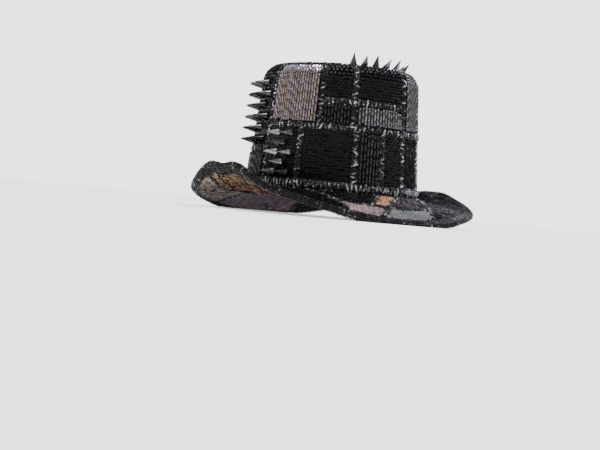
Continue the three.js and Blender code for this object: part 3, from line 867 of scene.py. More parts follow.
# %% [markdown]
# ## Sequins and beads on a patch
#
# A flat sequin is a thin disc with a hole in its middle. Sewn in rows, each disc overlaps
# the next like a roof tile, so its lower edge stands a little off the cloth. Small errors of
# the hand tilt every one differently, which is what makes them sparkle. Bugle beads are laid
# end to end in straight columns. A texture could draw both, but it would stay flat at the
# hat's outline. So both are placed on a patch by rows: a row has a place on the surface for
# every sequin, and every second row is shifted by half a step.
#
# A usual bugle bead is about 2 mm thick. Here the beads are 2.7 mm thick and 3 mm apart,
# because finer columns don't show in a picture of this size. A seed bead is about two pixels
# wide there, so six sides are enough for it.

# %% The small shapes
sequin_size = 4.4
sequin_step = 3.7
sequin_row = 3.0
sequin_points, sequin_band = turned([(0.45, -0.12), (1.3, -0.1), (sequin_size / 2, 0.22)], 9)
sequin_shape = (sequin_points, [sequin_band])

bugle_column = 3.0
bugle_radius = 1.36
bugle_length = 9
short_bugle = 0.3
bugle_half = bugle_length / 2
bugle_shape = capped([
    (0.5, -bugle_half + 0.25),
    (0.85 * bugle_radius, -bugle_half),
    (bugle_radius, -bugle_half + 0.15),
    (bugle_radius, bugle_half - 0.15),
    (0.85 * bugle_radius, bugle_half),
    (0.5, bugle_half - 0.25),
], 7)

seed_radius = 1.05
seed_shape = capped([
    (0.6 * seed_radius, -0.78),
    (1.04 * seed_radius, 0),
    (0.6 * seed_radius, 0.78),
], 6)
print("faces of a sequin, a bugle and a seed bead:",
      [sum(len(block) for block in body[1]) for body in (sequin_shape, bugle_shape, seed_shape)])

# %% Places and directions on a surface


def surface_axes(surface, turn, along, lift, turn_step, along_step):
    """At each place: across the surface, up along it, and out of it."""
    place = surface(turn, along, lift)
    across = surface(turn - turn_step, along, lift) - surface(turn + turn_step, along, lift)
    upward = surface(turn, along + along_step, lift) - surface(turn, along - along_step, lift)
    across = unit(across)
    normal = unit(np.cross(across, unit(upward)))
    outward = surface(turn, along, lift + 0.5) - surface(turn, along, lift - 0.5)
    facing = np.sign(np.sum(normal * outward, axis=-1, keepdims=True))
    normal = normal * facing
    upward = unit(np.cross(normal, across))
    return place, np.stack([across, upward, normal], axis=1)


print("direction helper ready")

# %% Rows of places on a patch
cloth_thickness = 1.0


def line_length(places):
    return np.linalg.norm(np.diff(places, axis=0), axis=1).sum() / mm


def row_length(surface, start, end, along):
    return line_length(surface(np.linspace(start, end, 24), along, 0))


def column_length(surface, sides, low, high):
    middle = np.mean(sides((low + high) / 2))
    return line_length(surface(middle, np.linspace(low, high, 24), 0))


def patch_rows(surface, sides, low, high, row_gap, step):
    """Rows of places on a patch. sides(along) gives the turns of its two sides."""
    count = max(1, round(column_length(surface, sides, low, high) / row_gap))
    turns = []
    alongs = []
    for row in range(count):
        along = low + (high - low) * (row + 0.5) / count
        start, end = sides(along)
        length = row_length(surface, start, end, along)
        number = int(length // step)
        if number < 1:
            continue
        shift = 0.25 if row % 2 else -0.25
        places = (np.arange(number) + 0.5 + shift) / number
        turns.append(start + (end - start) * places)
        alongs.append(np.full(number, along))
    return np.concatenate(turns), np.concatenate(alongs)


def patch_cloth(surface, sides, low, high, columns=20, rows=12):
    turns = []
    alongs = np.linspace(low, high, rows)
    for along in alongs:
        start, end = sides(along)
        turns.append(np.linspace(start, end, columns))
    turns = np.array(turns)
    alongs = np.repeat(alongs[:, None], columns, axis=1)
    top = surface(turns, alongs, cloth_thickness)
    return closed_sheet(top, surface(turns, alongs, 0.0))


print("row helpers ready")

# %% [markdown]
# ## The two kinds of patch
#
# A patch piece is its net cloth with its sequins or beads on top. The piece takes the place
# of the CAD node of the same name. Two functions fill every patch of the hat, so a finish is
# only a name in a table.

# %% Fill a patch with sequins
sequin_lift = 1.35
sequin_shift = 0.12
sequin_tip = 8
sequin_tip_spread = 4
sequin_roll_spread = 4.5


def sequin_field(surface, sides, low, high, seed, steps=(0.4, 0.01), slot=1):
    """Rows of sequins. Each is tipped up like a tile, and the hand adds small errors."""
    random = np.random.default_rng(seed)
    turns, alongs = patch_rows(surface, sides, low, high, sequin_row, sequin_step)
    places, axes = surface_axes(surface, turns, alongs, sequin_lift, *steps)
    count = len(places)
    places = places + random.normal(0, sequin_shift, (count, 3)) * mm
    tip = sequin_tip + random.normal(0, sequin_tip_spread, count)
    roll = random.normal(0, sequin_roll_spread, count)
    tone = random.beta(1.3, 1.3, count)
    return copies(sequin_shape, places, tilted(axes, tip, roll), tone, slot)


print("sequin rows are", sequin_row, "mm apart")

# %% Fill a patch with bugle beads
bugle_base = 0.9
bugle_joint = 0.12
bugle_tilt = 1.2
bugle_shift = 0.08


def bugle_field(surface, sides, low, high, seed, steps=(0.4, 0.01)):
    """Columns of bugle beads. Each column starts at its own height, so no joints line up.
    Round the crown's top edge the beads are short, to follow the bend."""
    random = np.random.default_rng(seed)
    middle = (low + high) / 2
    columns = int(row_length(surface, *sides(middle), middle) // bugle_column)
    step = (bugle_length + bugle_joint) * (high - low) / column_length(surface, sides, low, high)
    turns = []
    alongs = []
    stretches = []
    tones = []
    for column in range(columns):
        across = (column + 0.5) / columns
        column_tone = random.beta(2, 2)
        joint = low - step * random.random()
        while joint < high - 0.2 * step:
            share = short_bugle if joint + step / 2 > crown_side_run else 1
            start = max(joint, low)
            end = min(joint + step * share, high)
            joint += step * share
            if end - start < 0.25 * step * share:
                continue
            left, right = sides((start + end) / 2)
            if right - left == 0:
                continue
            turns.append(left + (right - left) * across)
            alongs.append((start + end) / 2)
            stretches.append((end - start) / step)
            tones.append(0.8 * column_tone + 0.2 * random.random())
    turns = np.array(turns)
    alongs = np.array(alongs)
    places, axes = surface_axes(surface, turns, alongs, bugle_base + bugle_radius, *steps)
    count = len(places)
    tip = random.normal(0, bugle_tilt, count)
    axes = tilted(axes, tip, random.normal(0, bugle_tilt, count))
    lengthwise = np.stack([axes[:, 0], axes[:, 2], axes[:, 1]], axis=1)
    places = places + random.normal(0, bugle_shift, (count, 3)) * mm
    return copies(
        bugle_shape, places, lengthwise, np.array(tones), slot=1, stretch=np.array(stretches))


print("bugle columns are", bugle_column, "mm apart")

# %% Table of finishes
finishes = {
    "black_sequin": (black_film, sequin_field),
    "charcoal_sequin": (charcoal_film, sequin_field),
    "silver_sequin": (silver_film, sequin_field),
    "pearl_sequin": (pearl_film, sequin_field),
    "copper_sequin": (copper_film, sequin_field),
    "gold_sequin": (gold_film, sequin_field),
    "champagne_sequin": (champagne_film, sequin_field),
    "violet_sequin": (violet_film, sequin_field),
    "teal_sequin": (teal_film, sequin_field),
    "black_bugle": (black_bugle_glass, bugle_field),
    "grey_bugle": (grey_bugle_glass, bugle_field),
    "silver_bugle": (silver_bugle_glass, bugle_field),
}
print("finishes:", len(finishes))

# %% [markdown]
# ## Spikes
#
# A tree spike is a turned cone that screws through the cloth from behind: a short straight
# foot, a long straight cone and a blunt tip. Blender's cone has no foot and a needle's tip,
# so the spike is turned from a profile, as on a lathe. The spikes stand in staggered rows, at
# the places where the CAD model has its plain cones. Some have kept more of their polish than
# others, so the tones of a row repeat after five.

# %% Spike shape
spike_length = 15
spike_base_radius = 4.3
spike_pitch = 18
spike_row_close = 9
spike_row_wide = 12
spike_margin = spike_base_radius + 1
patch_top = crown_gap + patch_thickness
spike_shape = capped([
    (3.4, -0.7),
    (4.1, -0.7),
    (spike_base_radius, -0.4),
    (spike_base_radius, 0.5),
    (4.0, 1.0),
    (2.8, 5.2),
    (1.5, 9.8),
    (0.5, 13.7),
    (0.32, 14.5),
    (0.1, spike_length),
], 18)
print("spike faces:", sum(len(block) for block in spike_shape[1]))

# %% Rows of spikes
spike_tones = 5


def spikes_at(places, directions, tones, slot=2):
    directions = unit(directions)
    helper = np.where(np.abs(directions[:, 2:]) > 0.9, [[1.0, 0, 0]], [[0, 0, 1.0]])
    across = unit(np.cross(helper, directions))
    axes = np.stack([across, np.cross(directions, across), directions], axis=1)
    tone = np.resize(np.linspace(*tones, spike_tones), len(places))
    return copies(spike_shape, places, axes, tone, slot)


def degrees_of(width, turn, run):
    ends = crown_point(np.array([turn - 0.5, turn + 0.5]), run, 0)
    return width / (np.linalg.norm(ends[1] - ends[0]) / mm)


def crown_spikes(start, end, low, high, row_pitch, tones):
    width = (end - start) / degrees_of(1, (start + end) / 2, (low + high) / 2)
    columns = max(1, round(width / spike_pitch))
    rows = max(1, round((high - low) / row_pitch))
    turns = []
    runs = []
    for row in range(rows + 1):
        odd = row % 2
        for column in range(columns + 1 - odd):
            turns.append(start + (end - start) * (column + odd / 2) / columns)
            runs.append(low + (high - low) * row / rows)
    foot = crown_point(np.array(turns), np.array(runs), patch_top)
    ahead = crown_point(np.array(turns), np.array(runs), patch_top + 1)
    return spikes_at(foot, ahead - foot, tones)


print("10 mm at the crown's foot is", round(float(degrees_of(10, 0, 0)), 1), "degrees")

# %% [markdown]
# ## Patches on the side of the crown
#
# The seams of the crown run upright and level, so each patch is a rectangle between two
# turns and two heights. It could be cut from the surface like cloth, but filling the
# rectangle row by row keeps whole sequins along its edges. Each row of the table names a
# patch, its finish and its four limits. The tall silver one ends in a band of brighter
# silver sequins where it bends over the top edge: a painted highlight on the bend. The front
# spikes get brighter tones than the ones at the right: painted light, as the front ones
# catch more light.

# %% Table of crown patches
seam_half = seam_width / 2 + side_gap
crown_levels = {
    "foot": hem_top + side_gap - seam_half,
    "low": crown_height * 0.32,
    "back": crown_height * 0.45,
    "middle": crown_height * 0.515,
    "high": crown_height * 0.715,
    "top": crown_run - seam_width / 2,
}
crown_patches = [
    ("patch_spiked_front", "black_sequin", 61.5, 89.5, "foot", "middle"),
    ("patch_black_front", "black_sequin", 23.5, 61.5, "foot", "middle"),
    ("patch_rows_front", "black_bugle", 4, 23.5, "foot", "middle"),
    ("patch_black_narrow", "black_sequin", -14.5, 4, "foot", "middle"),
    ("patch_silver_tall", "silver_bugle", 49.5, 89.5, "middle", "top"),
    ("patch_black_strip", "black_bugle", 26.5, 49.5, "middle", "high"),
    ("patch_black_top", "black_sequin", 26.5, 49.5, "high", "top"),
    ("patch_grey_strip", "grey_bugle", -14.5, 26.5, "middle", "high"),
    ("patch_black_centre", "black_sequin", -14.5, 26.5, "high", "top"),
    ("patch_charcoal_left", "charcoal_sequin", -36, -14.5, "foot", "middle"),
    ("patch_grey_left", "grey_bugle", -36, -14.5, "middle", "top"),
    ("patch_silver_left", "silver_sequin", -90, -36, "foot", "middle"),
    ("patch_black_left", "black_sequin", -90, -36, "middle", "top"),
    ("patch_black_back_left", "black_sequin", -131, -90, "foot", "high"),
    ("patch_silver_back_left", "silver_bugle", -131, -90, "high", "top"),
    ("patch_grey_back", "grey_bugle", -172, -131, "foot", "back"),
    ("patch_black_back", "black_sequin", -172, -131, "back", "top"),
    ("patch_charcoal_back", "charcoal_sequin", 141, 188, "foot", "middle"),
    ("patch_black_back_right", "black_sequin", 141, 188, "middle", "top"),
    ("patch_bugle_right", "black_bugle", 89.5, 141, "foot", "low"),
    ("patch_spiked_right", "black_sequin", 89.5, 141, "low", "top"),
]


print("crown patches:", len(crown_patches))

# %% Crown patches


def crown_cloth(turn, run, lift):
    return crown_point(turn, run, crown_gap + np.asarray(lift, float))


# The last pair in each row is the range of spike tones: painted light, bright at the front and
# dark at the right.
spike_fields = {
    "patch_spiked_front": (
        70, 81, hem_top + side_gap + spike_margin,
        crown_levels["middle"] - seam_half - spike_margin, spike_row_close, (0.5, 1.0)),
    "patch_spiked_right": (
        98, 132, crown_levels["low"] + seam_half + spike_margin,
        crown_side_run - spike_margin, spike_row_wide, (0.0, 0.35)),
}
# The band from here to the top is of the brighter silver film: a painted highlight on the bend.
painted_highlight_band_run = crown_side_run + 7
for seed, (name, finish, right, left, low, high) in enumerate(crown_patches):
    start = right + degrees_of(seam_half, right, crown_levels["middle"])
    end = left - degrees_of(seam_half, left, crown_levels["middle"])
    bottom = crown_levels[low] + seam_half
    top = crown_levels[high] - seam_half
    sides = (lambda a, b: lambda along: (a, b))(start, end)
    film, fill = finishes[finish]
    has_painted_highlight_band = name == "patch_silver_tall"
    fill_top = painted_highlight_band_run if has_painted_highlight_band else top
    shapes = [
        patch_cloth(crown_cloth, sides, bottom, top),
        fill(crown_cloth, sides, bottom, fill_top, seed),
    ]
    materials = [net_cloth, film]
    if has_painted_highlight_band:
        shapes.append(sequin_field(crown_cloth, sides, fill_top, top, seed, slot=2))
        materials.append(silver_film)
    if name in spike_fields:
        shapes.append(crown_spikes(*spike_fields[name]))
        materials.append(spike_plating)
    build_piece(name + "_cover", shapes, materials, [name])
print("pieces so far:", len(parts_made))

# %% [markdown]
# ## Patches on the brim
#
# The seams of the brim run from the crown towards the edge, straight when seen from above,
# and an arc crosses those at the front. So a patch lies between two seams and two shares of
# the brim's width. A turn that changes evenly along a seam would be simpler, but slanting
# seams would then bend. A straight seam crosses each ring of the brim at a turn of its own,
# which is found by halving an interval again and again.

# %% Where a brim seam crosses each ring
brim_start = 0.01
brim_end = 1 - binding_lip / brim_run - side_gap / brim_run
under_ring = brim_start + brim_seam_width / 2 / brim_run
top_ring = -0.3
brim_arc = 0.54
brim_seam_half = brim_seam_width / 2 + side_gap
brim_half = brim_seam_half / brim_run


def seam_line(inner, outer, reach=1.0):
    """Gives the turn at which a straight seam crosses each share of the brim."""
    start = brim_middle(np.array([float(inner)]), np.array([0.0]))[0, :2]
    end = brim_middle(np.array([float(outer)]), np.array([float(reach)]))[0, :2]
    run = end - start
    line_normal = np.array([run[1], -run[0]]) / np.linalg.norm(run)
    low = min(inner, outer) - 25.0
    high = max(inner, outer) + 25.0

    def side_of(turn, share):
        place = brim_middle(np.array([turn]), np.array([float(share)]))[0, :2]
        return float(np.dot(place - start, line_normal))

    def turn_at(share, shift=0.0):
        left, right = low, high
        rising = side_of(right, share) > side_of(left, share)
        for _ in range(30):
            middle = (left + right) / 2
            if (side_of(middle, share) > shift) == rising:
                right = middle
            else:
                left = middle
        return (left + right) / 2

    turn_at.rising = side_of(high, 0.5) > side_of(low, 0.5)
    return turn_at


print("brim width at the front in mm:", round(brim_run, 1))

# %% Table of brim seams
# Two turns for each seam: where it leaves the crown, and where it meets the edge or the arc.
top_seams = {
    "right": seam_line(88, 84),
    "front_right": seam_line(52, 27),
    "front_short": seam_line(7, 16, brim_arc),
    "front": seam_line(-10, 14),
    "front_left": seam_line(-32, -14),
    "left": seam_line(-70, -62),
    "back_left": seam_line(-110, -114),
    "far_left": seam_line(-150, -144),
    "back": seam_line(172, 174),
    "back_again": seam_line(-188, -186),
    "back_right": seam_line(128, 124),
}
under_seams = {
    "front_right": seam_line(40, 48),
    "right": seam_line(80, 76),
    "side_right": seam_line(112, 104),
    "back_right": seam_line(150, 152),
    "back_left": seam_line(200, 196),
    "back_again": seam_line(-160, -164),
    "side_left": seam_line(-108, -102),
    "left": seam_line(-58, -62),
    "front": seam_line(-10, -6),
}
print("front seam crosses the arc at turn", round(top_seams["front"](brim_arc), 1))

# %% Table of brim patches
inner = brim_start
under_inner = under_ring + brim_half
outer = brim_end
before_arc = brim_arc - brim_half
after_arc = brim_arc + brim_half
top_patches = [
    ("brim_black_right", "black_sequin", "front_right", "right", inner, outer),
    ("brim_black_front", "black_sequin", "front_short", "front_right", inner, before_arc),
    ("brim_copper_front", "copper_sequin", "front", "front_short", inner, before_arc),
    ("brim_charcoal_front", "charcoal_sequin", "front_left", "front", inner, before_arc),
    ("brim_pearl_front", "pearl_sequin", "front", "front_right", after_arc, outer),
    ("brim_teal_front", "teal_sequin", "front_left", "front", after_arc, outer),
    ("brim_gunmetal_left", "charcoal_sequin", "left", "front_left", inner, outer),
    ("brim_charcoal_left", "charcoal_sequin", "back_left", "left", inner, outer),
    ("brim_gold_left", "gold_sequin", "far_left", "back_left", inner, outer),
    ("brim_black_back", "black_sequin", "back_again", "far_left", inner, outer),
    ("brim_silver_back", "silver_sequin", "back_right", "back", inner, outer),
    ("brim_charcoal_right", "charcoal_sequin", "right", "back_right", inner, outer),
]
under_patches = [
    ("under_copper", "copper_sequin", "front_right", "right", under_inner, outer),
    ("under_gold", "gold_sequin", "right", "side_right", under_inner, outer),
    ("under_champagne", "champagne_sequin", "side_right", "back_right", under_inner, outer),
    ("under_violet", "violet_sequin", "back_right", "back_left", under_inner, outer),
    ("under_black_back", "black_sequin", "back_again", "side_left", under_inner, outer),
    ("under_silver", "silver_sequin", "side_left", "left", under_inner, outer),
    ("under_teal", "teal_sequin", "left", "front", under_inner, outer),
    ("under_black_front", "black_sequin", "front", "front_right", under_inner, outer),
]
print("brim patches:", len(top_patches) + len(under_patches))

# %% Brim patches


def brim_sides(low_seam, high_seam):
    def sides(share):
        up = brim_seam_half if low_seam.rising else -brim_seam_half
        down = -brim_seam_half if high_seam.rising else brim_seam_half
        return high_seam(share, down), low_seam(share, up)
    return sides


for surface, seams, table in [
    (top_of_brim, top_seams, top_patches),
    (under_brim, under_seams, under_patches),
]:
    for seed, (name, finish, low_turn, high_turn, low, high) in enumerate(table):
        sides = brim_sides(seams[low_turn], seams[high_turn])
        film, fill = finishes[finish]
        shapes = [
            patch_cloth(surface, sides, low, high, columns=36, rows=10),
            fill(surface, sides, low, high, 100 + seed),
        ]
        build_piece(name + "_cover", shapes, [net_cloth, film], [name])
print("pieces so far:", len(parts_made))

# %% [markdown]
# ## Patches on the tip
#
# The tip is flat, so here a place is simply x and y in millimetres. Turns round the middle
# would crowd the sequins there, so the rows run straight across. Each patch is what is left
# of an oval between two straight seams, filled row by row up to the oval's edge.

# %% Table of tip patches
# Each row gives a patch's limits in x and then in y. Beyond is anywhere past the oval's edge.
tip_seam_y = -0.12 * crown_half_length
tip_front_x = -0.42 * crown_half_width
tip_back_x = 0.12 * crown_half_width
beyond = 99
front_end = tip_seam_y - seam_half
back_start = tip_seam_y + seam_half
tip_patches = [
    ("tip_patch_spiked", "black_sequin", tip_front_x + seam_half, beyond, -beyond, front_end),
    ("tip_patch_silver", "silver_bugle", -beyond, tip_front_x - seam_half, -beyond, front_end),
    ("tip_patch_black", "black_sequin", tip_back_x + seam_half, beyond, back_start, beyond),
    ("tip_patch_charcoal", "charcoal_sequin", -beyond, tip_back_x - seam_half, back_start, beyond),
]
print("tip patches:", len(tip_patches))

# %% Limits of a row on the tip


def oval_sides(left, right):
    def sides(y):
        reach = tip_half_width * math.sqrt(max(0, 1 - (y / tip_half_length) ** 2))
        a = max(left, -reach)
        b = min(right, reach)
        return (a, max(a, b))
    return sides


def highest_row(left, right):
    nearest = max(0, left, -right)
    return tip_half_length * math.sqrt(1 - (nearest / tip_half_width) ** 2) - 0.2


print("length of the tip in mm:", 2 * tip_half_length)

# %% Spikes along the tip's edge
# They lean outwards by different angles, as spikes set by hand do.
tip_spike_turns = [29, 18, 6, -6, -23, -45, -68]
tip_spike_leans = [20, 38, 18, 42, 26, 38, 30]


def tip_spikes():
    turns = np.array(tip_spike_turns, float)
    inset = spike_base_radius + 0.6
    foot = tip_point(
        -(tip_half_width - inset) * np.sin(np.radians(turns)),
        -(tip_half_length - inset) * np.cos(np.radians(turns)),
        patch_thickness,
    )
    ahead = np.stack([
        -np.sin(np.radians(turns)),
        -np.cos(np.radians(turns)),
        1 / np.tan(np.radians(tip_spike_leans)),
    ], axis=-1)
    return spikes_at(foot, ahead, (0.3, 0.65))


print("spikes along the edge:", len(tip_spike_turns))

# %% Tip patches
for seed, (name, finish, left, right, low, high) in enumerate(tip_patches):
    sides = oval_sides(left, right)
    end = highest_row(left, right)
    low = max(low, -end)
    high = min(high, end)
    film, fill = finishes[finish]
    shapes = [
        patch_cloth(tip_point, sides, low, high, columns=24, rows=30),
        fill(tip_point, sides, low, high, 200 + seed, (0.4, 0.4)),
    ]
    materials = [net_cloth, film]
    if name == "tip_patch_spiked":
        shapes.append(tip_spikes())
        materials.append(spike_plating)
    build_piece(name + "_cover", shapes, materials, [name])
print("pieces so far:", len(parts_made))

# %% [markdown]
# ## Beaded braid over the seams
#
# Every joint hides under a raised braid: a round cord couched down with short bars of seed
# beads, laid across it side by side. Every second bar stands proud, and pairs of bars lean
# one way and then the other. The proud bars are given brighter tones, a painted highlight,
# and the sunk bars and the outer beads that sink over the cord darker tones, painted shade.
# Bars set one by one, or an array along a curve, would also do, but they would have to be
# fitted to each bend. So the braid is built along a list of places on a surface: a padded
# cord under it, and the bars over it.

# %% Directions along a line of places
bead_pitch = 1.95
bar_pitch = 2.15
cord_height = 1.6
cord_pitch = 2.5


def line_frames(surface, turns, alongs, lift, spacing, closed):
    """Even places along a line on a surface, with directions along it, across it and out."""
    base = surface(turns, alongs, 0)
    steps = np.linalg.norm(np.diff(base, axis=0), axis=1) / mm
    length = np.concatenate([[0], np.cumsum(steps)])
    count = max(2, round(length[-1] / spacing))
    marks = (np.arange(count) + (0 if closed else 0.5)) * length[-1] / count
    even_turns = np.interp(marks, length, turns)
    even_alongs = np.interp(marks, length, alongs)
    place = surface(even_turns, even_alongs, lift)
    ahead = surface(
        np.interp(marks + 0.5, length, turns), np.interp(marks + 0.5, length, alongs), lift)
    behind = surface(
        np.interp(marks - 0.5, length, turns), np.interp(marks - 0.5, length, alongs), lift)
    tangent = unit(ahead - behind)
    outward = surface(even_turns, even_alongs, lift + 0.5) - surface(
        even_turns, even_alongs, lift - 0.5)
    normal = unit(outward - tangent * np.sum(outward * tangent, axis=-1, keepdims=True))
    return place, tangent, np.cross(normal, tangent), normal


print("line helper ready")

# %% Padded cord


def cord(surface, turns, alongs, width, closed, height=cord_height):
    """A cord with a flat foot and a round back. A closed one joins its ends."""
    place, _, across, normal = line_frames(surface, turns, alongs, 0.0, cord_pitch, closed)
    profile = [(-0.5, 0), (-0.47, 0.5), (-0.3, 0.9), (0, 1.0), (0.3, 0.9), (0.47, 0.5), (0.5, 0)]
    rings = [
        place + across * (x * width * mm) + normal * (z * height * mm) for x, z in profile
    ]
    rings = np.stack(rings, axis=1)
    count, width_count = rings.shape[:2]
    number = np.arange(count * width_count).reshape(count, width_count)
    following = np.roll(number, -1, axis=0)
    if not closed:
        number, following = number[:-1], following[:-1]
    around = np.roll(np.arange(width_count), -1)
    sides = np.stack([
        number, number[:, around], following[:, around], following,
    ], -1).reshape(-1, 4)
    faces = [sides]
    if not closed:
        faces.append(np.arange(width_count)[None, ::-1])
        faces.append(np.arange(width_count)[None] + (count - 1) * width_count)
    return shape(rings.reshape(-1, 3), faces)


print("cord height in mm:", cord_height)

# %% Bars of beads
bar_rise = 0.35
bar_sink = 0.4
# Tone of the sunk bars: painted shade.
sunk_bar_painted_shade = 0.32
lean_spread = 13
bar_shine_spread = 0.18
bead_shine_spread = 0.16


def bead_bars(surface, turns, alongs, beads, seed, slant=0, closed=False, pitch=bar_pitch,
              lift=cord_height + 0.35, drop=0.9, proud_bar_painted_highlight=0.66):
    """Bars of a few beads across a line. Their outer beads sink by drop, as over a cord."""
    random = np.random.default_rng(seed)
    place, tangent, across, normal = line_frames(surface, turns, alongs, lift, pitch, closed)
    bars = len(place)
    order = np.arange(bars)
    leads = order % 2 == 0
    lean = np.radians(slant) * np.where(order // 2 % 2 == 0, 1, -1)
    lean = (lean + np.radians(random.normal(0, lean_spread, bars)))[:, None]
    proud = np.where(leads, bar_rise, -bar_sink)[:, None]
    # Proud bars take the brighter tone, a painted highlight, and sunk bars the darker one, painted
    # shade, each with a random spread.
    painted_light_and_random_tone = np.where(leads, proud_bar_painted_highlight, sunk_bar_painted_shade) + random.normal(0, bar_shine_spread, bars)
    bar_way = across * np.cos(lean) + tangent * np.sin(lean)
    side_way = tangent * np.cos(lean) - across * np.sin(lean)
    spots = []
    axes = []
    tones = []
    middle = (beads - 1) / 2
    for k in range(beads):
        offset = (k - middle) * bead_pitch
        sink = drop * (abs(k - middle) / max(1, middle)) ** 2
        spot = place + bar_way * (offset * mm) + normal * ((proud - sink) * mm)
        spots.append(spot + random.normal(0, 0.08, (bars, 3)) * mm)
        axes.append(np.stack([side_way, normal, bar_way], axis=1))
        # Beads darken towards the ends of a bar as they sink: painted shade.
        painted_sink_shade = 1 - 0.3 * sink / drop
        tone = painted_light_and_random_tone * painted_sink_shade + random.normal(0, bead_shine_spread, bars)
        tones.append(np.clip(tone, 0, 1))
    return copies(
        seed_shape, np.concatenate(spots), np.concatenate(axes), np.concatenate(tones), slot=1)


print("braid helpers ready")

# %% Braid on the crown's side
# Each upright seam has its turn and the levels of its ends. Each crossing has its level and
# the turns of its ends.


def between(start, end, count=60):
    return np.linspace(start, end, count)


crown_uprights = [
    (89.5, "foot", "top"), (61.5, "foot", "middle"), (49.5, "middle", "top"),
    (26.5, "middle", "top"), (23.5, "foot", "middle"), (4, "foot", "middle"),
    (-14.5, "foot", "top"),
    (-36, "foot", "top"), (-90, "foot", "top"), (-131, "foot", "top"),
    (-172, "foot", "top"), (141, "foot", "top"),
]
crown_crossings = [
    ("middle", -90, 89.5), ("high", -14.5, 49.5), ("high", -131, -90),
    ("back", -172, -131), ("middle", 141, 188), ("low", 89.5, 141),
]
braid_materials = [braid_cord, seed_glass]
braid_shapes = []
for seed, (turn, low, high) in enumerate(crown_uprights):
    runs = between(crown_levels[low], crown_levels[high])
    turns = np.full(len(runs), float(turn))
    braid_shapes.append(cord(crown_cloth, turns, runs, seam_width, False))
    braid_shapes.append(bead_bars(crown_cloth, turns, runs, 4, 300 + seed, slant=22))
for seed, (level, start, end) in enumerate(crown_crossings):
    turns = between(start, end, 120)
    runs = np.full(len(turns), float(crown_levels[level]))
    braid_shapes.append(cord(crown_cloth, turns, runs, seam_width, False))
    braid_shapes.append(bead_bars(crown_cloth, turns, runs, 4, 330 + seed, slant=10))
ring_turns = between(-180, 180, 361)
ring_runs = np.full(len(ring_turns), crown_run - seam_width / 2)
braid_shapes.append(cord(crown_cloth, ring_turns, ring_runs, seam_width, True))
braid_shapes.append(bead_bars(
    crown_cloth, ring_turns, ring_runs, 4, 350, closed=True, proud_bar_painted_highlight=0.2))
build_piece("crown_braid_beads", braid_shapes, braid_materials, ["crown_braid"])
print("seams on the crown's side:", len(crown_uprights) + len(crown_crossings) + 1)

# %% Hem braid round the foot of the crown
hem_middle = (hem_bottom + hem_top) / 2
hem_runs = np.full(len(ring_turns), hem_middle)
hem_shapes = [
    cord(crown_cloth, ring_turns, hem_runs, hem_top - hem_bottom, True, height=2.4),
    bead_bars(crown_cloth, ring_turns, hem_runs, 5, 360, slant=7, closed=True,
              lift=2.6, drop=1.2, proud_bar_painted_highlight=0.84),
]
build_piece("hem_braid_beads", hem_shapes, braid_materials, ["hem_braid"])
print("height of the hem braid in mm:", round(hem_top - hem_bottom, 1))

# %% Braid on the tip
tip_lines = [
    (-tip_half_width * 0.98, tip_seam_y, tip_half_width * 0.98, tip_seam_y),
    (tip_front_x, -tip_half_length * 0.84, tip_front_x, tip_seam_y),
    (tip_back_x, tip_seam_y, tip_back_x, tip_half_length * 0.98),
]
tip_shapes = []
for seed, (x0, y0, x1, y1) in enumerate(tip_lines):
    xs = between(x0, x1)
    ys = between(y0, y1)
    tip_shapes.append(cord(tip_point, xs, ys, seam_width, False))
    tip_shapes.append(bead_bars(tip_point, xs, ys, 4, 370 + seed, slant=18))
build_piece("tip_braid_beads", tip_shapes, braid_materials, ["tip_braid"])
print("seams on the tip:", len(tip_lines))

# %% Braid on the brim
# The seam back_again is an earlier one, a full turn on, so it gets no braid of its own.


def brim_braid(name, surface, seams, arcs, node, seed):
    shapes = []
    for index, (label, line) in enumerate(seams.items()):
        if label == "back_again":
            continue
        reach = brim_arc if label == "front_short" else brim_end
        shares = between(brim_start, reach, 30)
        turns = np.array([line(share) for share in shares])
        shapes.append(cord(surface, turns, shares, brim_seam_width, False, height=1.3))
        shapes.append(bead_bars(surface, turns, shares, 3, seed + index, slant=24, lift=1.6,
                                proud_bar_painted_highlight=0.54))
    for share, start, end in arcs:
        whole = end - start == 360
        turns = between(start, end, 361)
        shares = np.full(len(turns), share)
        shapes.append(cord(surface, turns, shares, brim_seam_width, whole, height=1.3))
        shapes.append(bead_bars(
            surface, turns, shares, 2, seed + 50, closed=whole, lift=1.5, proud_bar_painted_highlight=0.4))
    build_piece(name, shapes, braid_materials, [node])


brim_braid("brim_braid_beads", top_of_brim, top_seams,
           [(top_ring, -180, 180), (brim_arc, -23, 38)], "brim_braid", 400)
brim_braid("under_braid_beads", under_brim, under_seams,
           [(under_ring, -180, 180)], "under_braid", 500)
print("braid pieces:", parts_made[-5:])

# %% [markdown]
# ## Beaded edge
#
# The brim's edge is wrapped in a band with loops of seed beads sewn over it, side by side.
# Every second loop stands a little further out, so the edge looks finely toothed against the
# light. A curve with a bevel could make the band, but its section would twist where the brim
# rolls. So the band is a smooth tube of rings that follow the brim, and the loops follow its
# section.

# %% Binding
lip_share = 1 - binding_lip / brim_run
nose_share = 1 + brim_gap / brim_run
half_inside = brim_thickness / 2 + brim_gap


def binding_line(extra):
    """The binding's outside, from its upper lip round the edge to its lower lip."""
    outside = half_inside + binding_thickness - seed_radius + extra
    reach = outside / brim_run
    angles = np.radians(np.linspace(90, -90, 9))
    nose = [(nose_share + reach * 0.55 * math.cos(a), outside * math.sin(a)) for a in angles]
    return [(lip_share, outside - 0.6), *nose, (lip_share, -outside + 0.6)]


band_section = [(lip_share, half_inside), *binding_line(-0.3), (lip_share, -half_inside)]
band_section += [(nose_share, -half_inside), (nose_share, half_inside)]
band_rings = [brim_point(round_turns, share, lift) for share, lift in band_section]
band = joined_rings(band_rings, ends_meet=True)
print("rings of the binding:", len(band_rings))

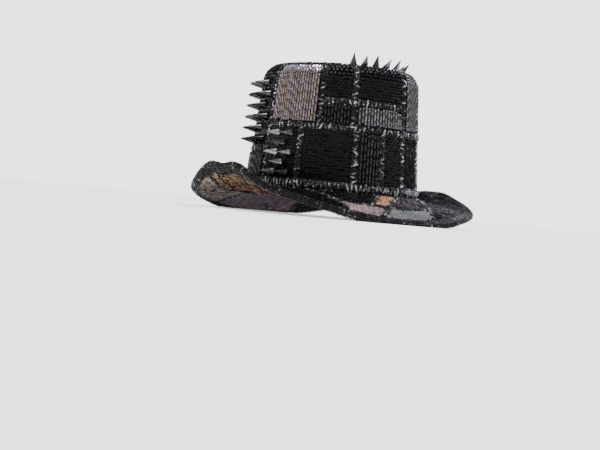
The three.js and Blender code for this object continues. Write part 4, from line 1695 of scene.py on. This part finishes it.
# %% Bead loops over the binding
loop_pitch = 2.25
# Loops that stand out get a brighter tone, a painted highlight, and the low ones a darker tone,
# painted shade.
proud_loop_painted_highlight = 0.32
low_loop_painted_shade = 0.1
edge_places = brim_point(ring_turns, 1, 0)
edge_length = line_length(edge_places)
edge_marks = np.concatenate([
    [0], np.cumsum(np.linalg.norm(np.diff(edge_places, axis=0), axis=1)) / mm])
loop_count = 2 * round(edge_length / loop_pitch / 2)
loop_turns = np.interp(np.arange(loop_count) * edge_length / loop_count, edge_marks, ring_turns)
bead_places = []
bead_axes = []
bead_tones = []
random = np.random.default_rng(600)
for extra, first in [(0.5, 0), (0.0, 1)]:
    turns = loop_turns[first::2]
    section = np.array(binding_line(extra))
    line = np.stack([brim_point(turns, share, lift) for share, lift in section], axis=1)
    steps = np.linalg.norm(np.diff(line, axis=1), axis=2).mean(axis=0) / mm
    length = np.concatenate([[0], np.cumsum(steps)])
    beads = int(length[-1] // bead_pitch)
    marks = (np.arange(beads) + 0.5) * length[-1] / beads
    painted_light_and_random_tone = proud_loop_painted_highlight if first == 0 else low_loop_painted_shade
    painted_light_and_random_tone = painted_light_and_random_tone + random.normal(0, bar_shine_spread, len(turns))
    for mark in marks:
        share, lift = (np.interp(mark, length, section[:, k]) for k in (0, 1))
        before = [np.interp(mark - 0.6, length, section[:, k]) for k in (0, 1)]
        after = [np.interp(mark + 0.6, length, section[:, k]) for k in (0, 1)]
        place = brim_point(turns, share, lift)
        place[:, 2] = np.maximum(place[:, 2], (seed_radius + 0.1) * mm)
        bar_way = unit(brim_point(turns, *after) - brim_point(turns, *before))
        round_way = unit(brim_point(turns + 0.3, 1, 0) - brim_point(turns - 0.3, 1, 0))
        normal = unit(np.cross(bar_way, round_way))
        bead_places.append(place + random.normal(0, 0.1, (len(turns), 3)) * mm)
        bead_axes.append(np.stack([round_way, normal, bar_way], axis=1))
        bead_tones.append(np.clip(painted_light_and_random_tone + random.normal(0, 0.14, len(turns)), 0, 1))
loops = copies(seed_shape, np.concatenate(bead_places), np.concatenate(bead_axes),
               np.concatenate(bead_tones), slot=1)
build_piece("edge_binding_beads", [band, loops], braid_materials, ["edge_binding"])
print("edge length in mm:", round(edge_length), "loops:", loop_count)

# %% [markdown]
#
# The last cell counts the triangles of all pieces and names the largest.

# %% Count the triangles
print("triangles:", sum(count for _, count in parts_made), "in", len(parts_made), "pieces")
print("largest pieces:", sorted(parts_made, key=lambda part: -part[1])[:5])
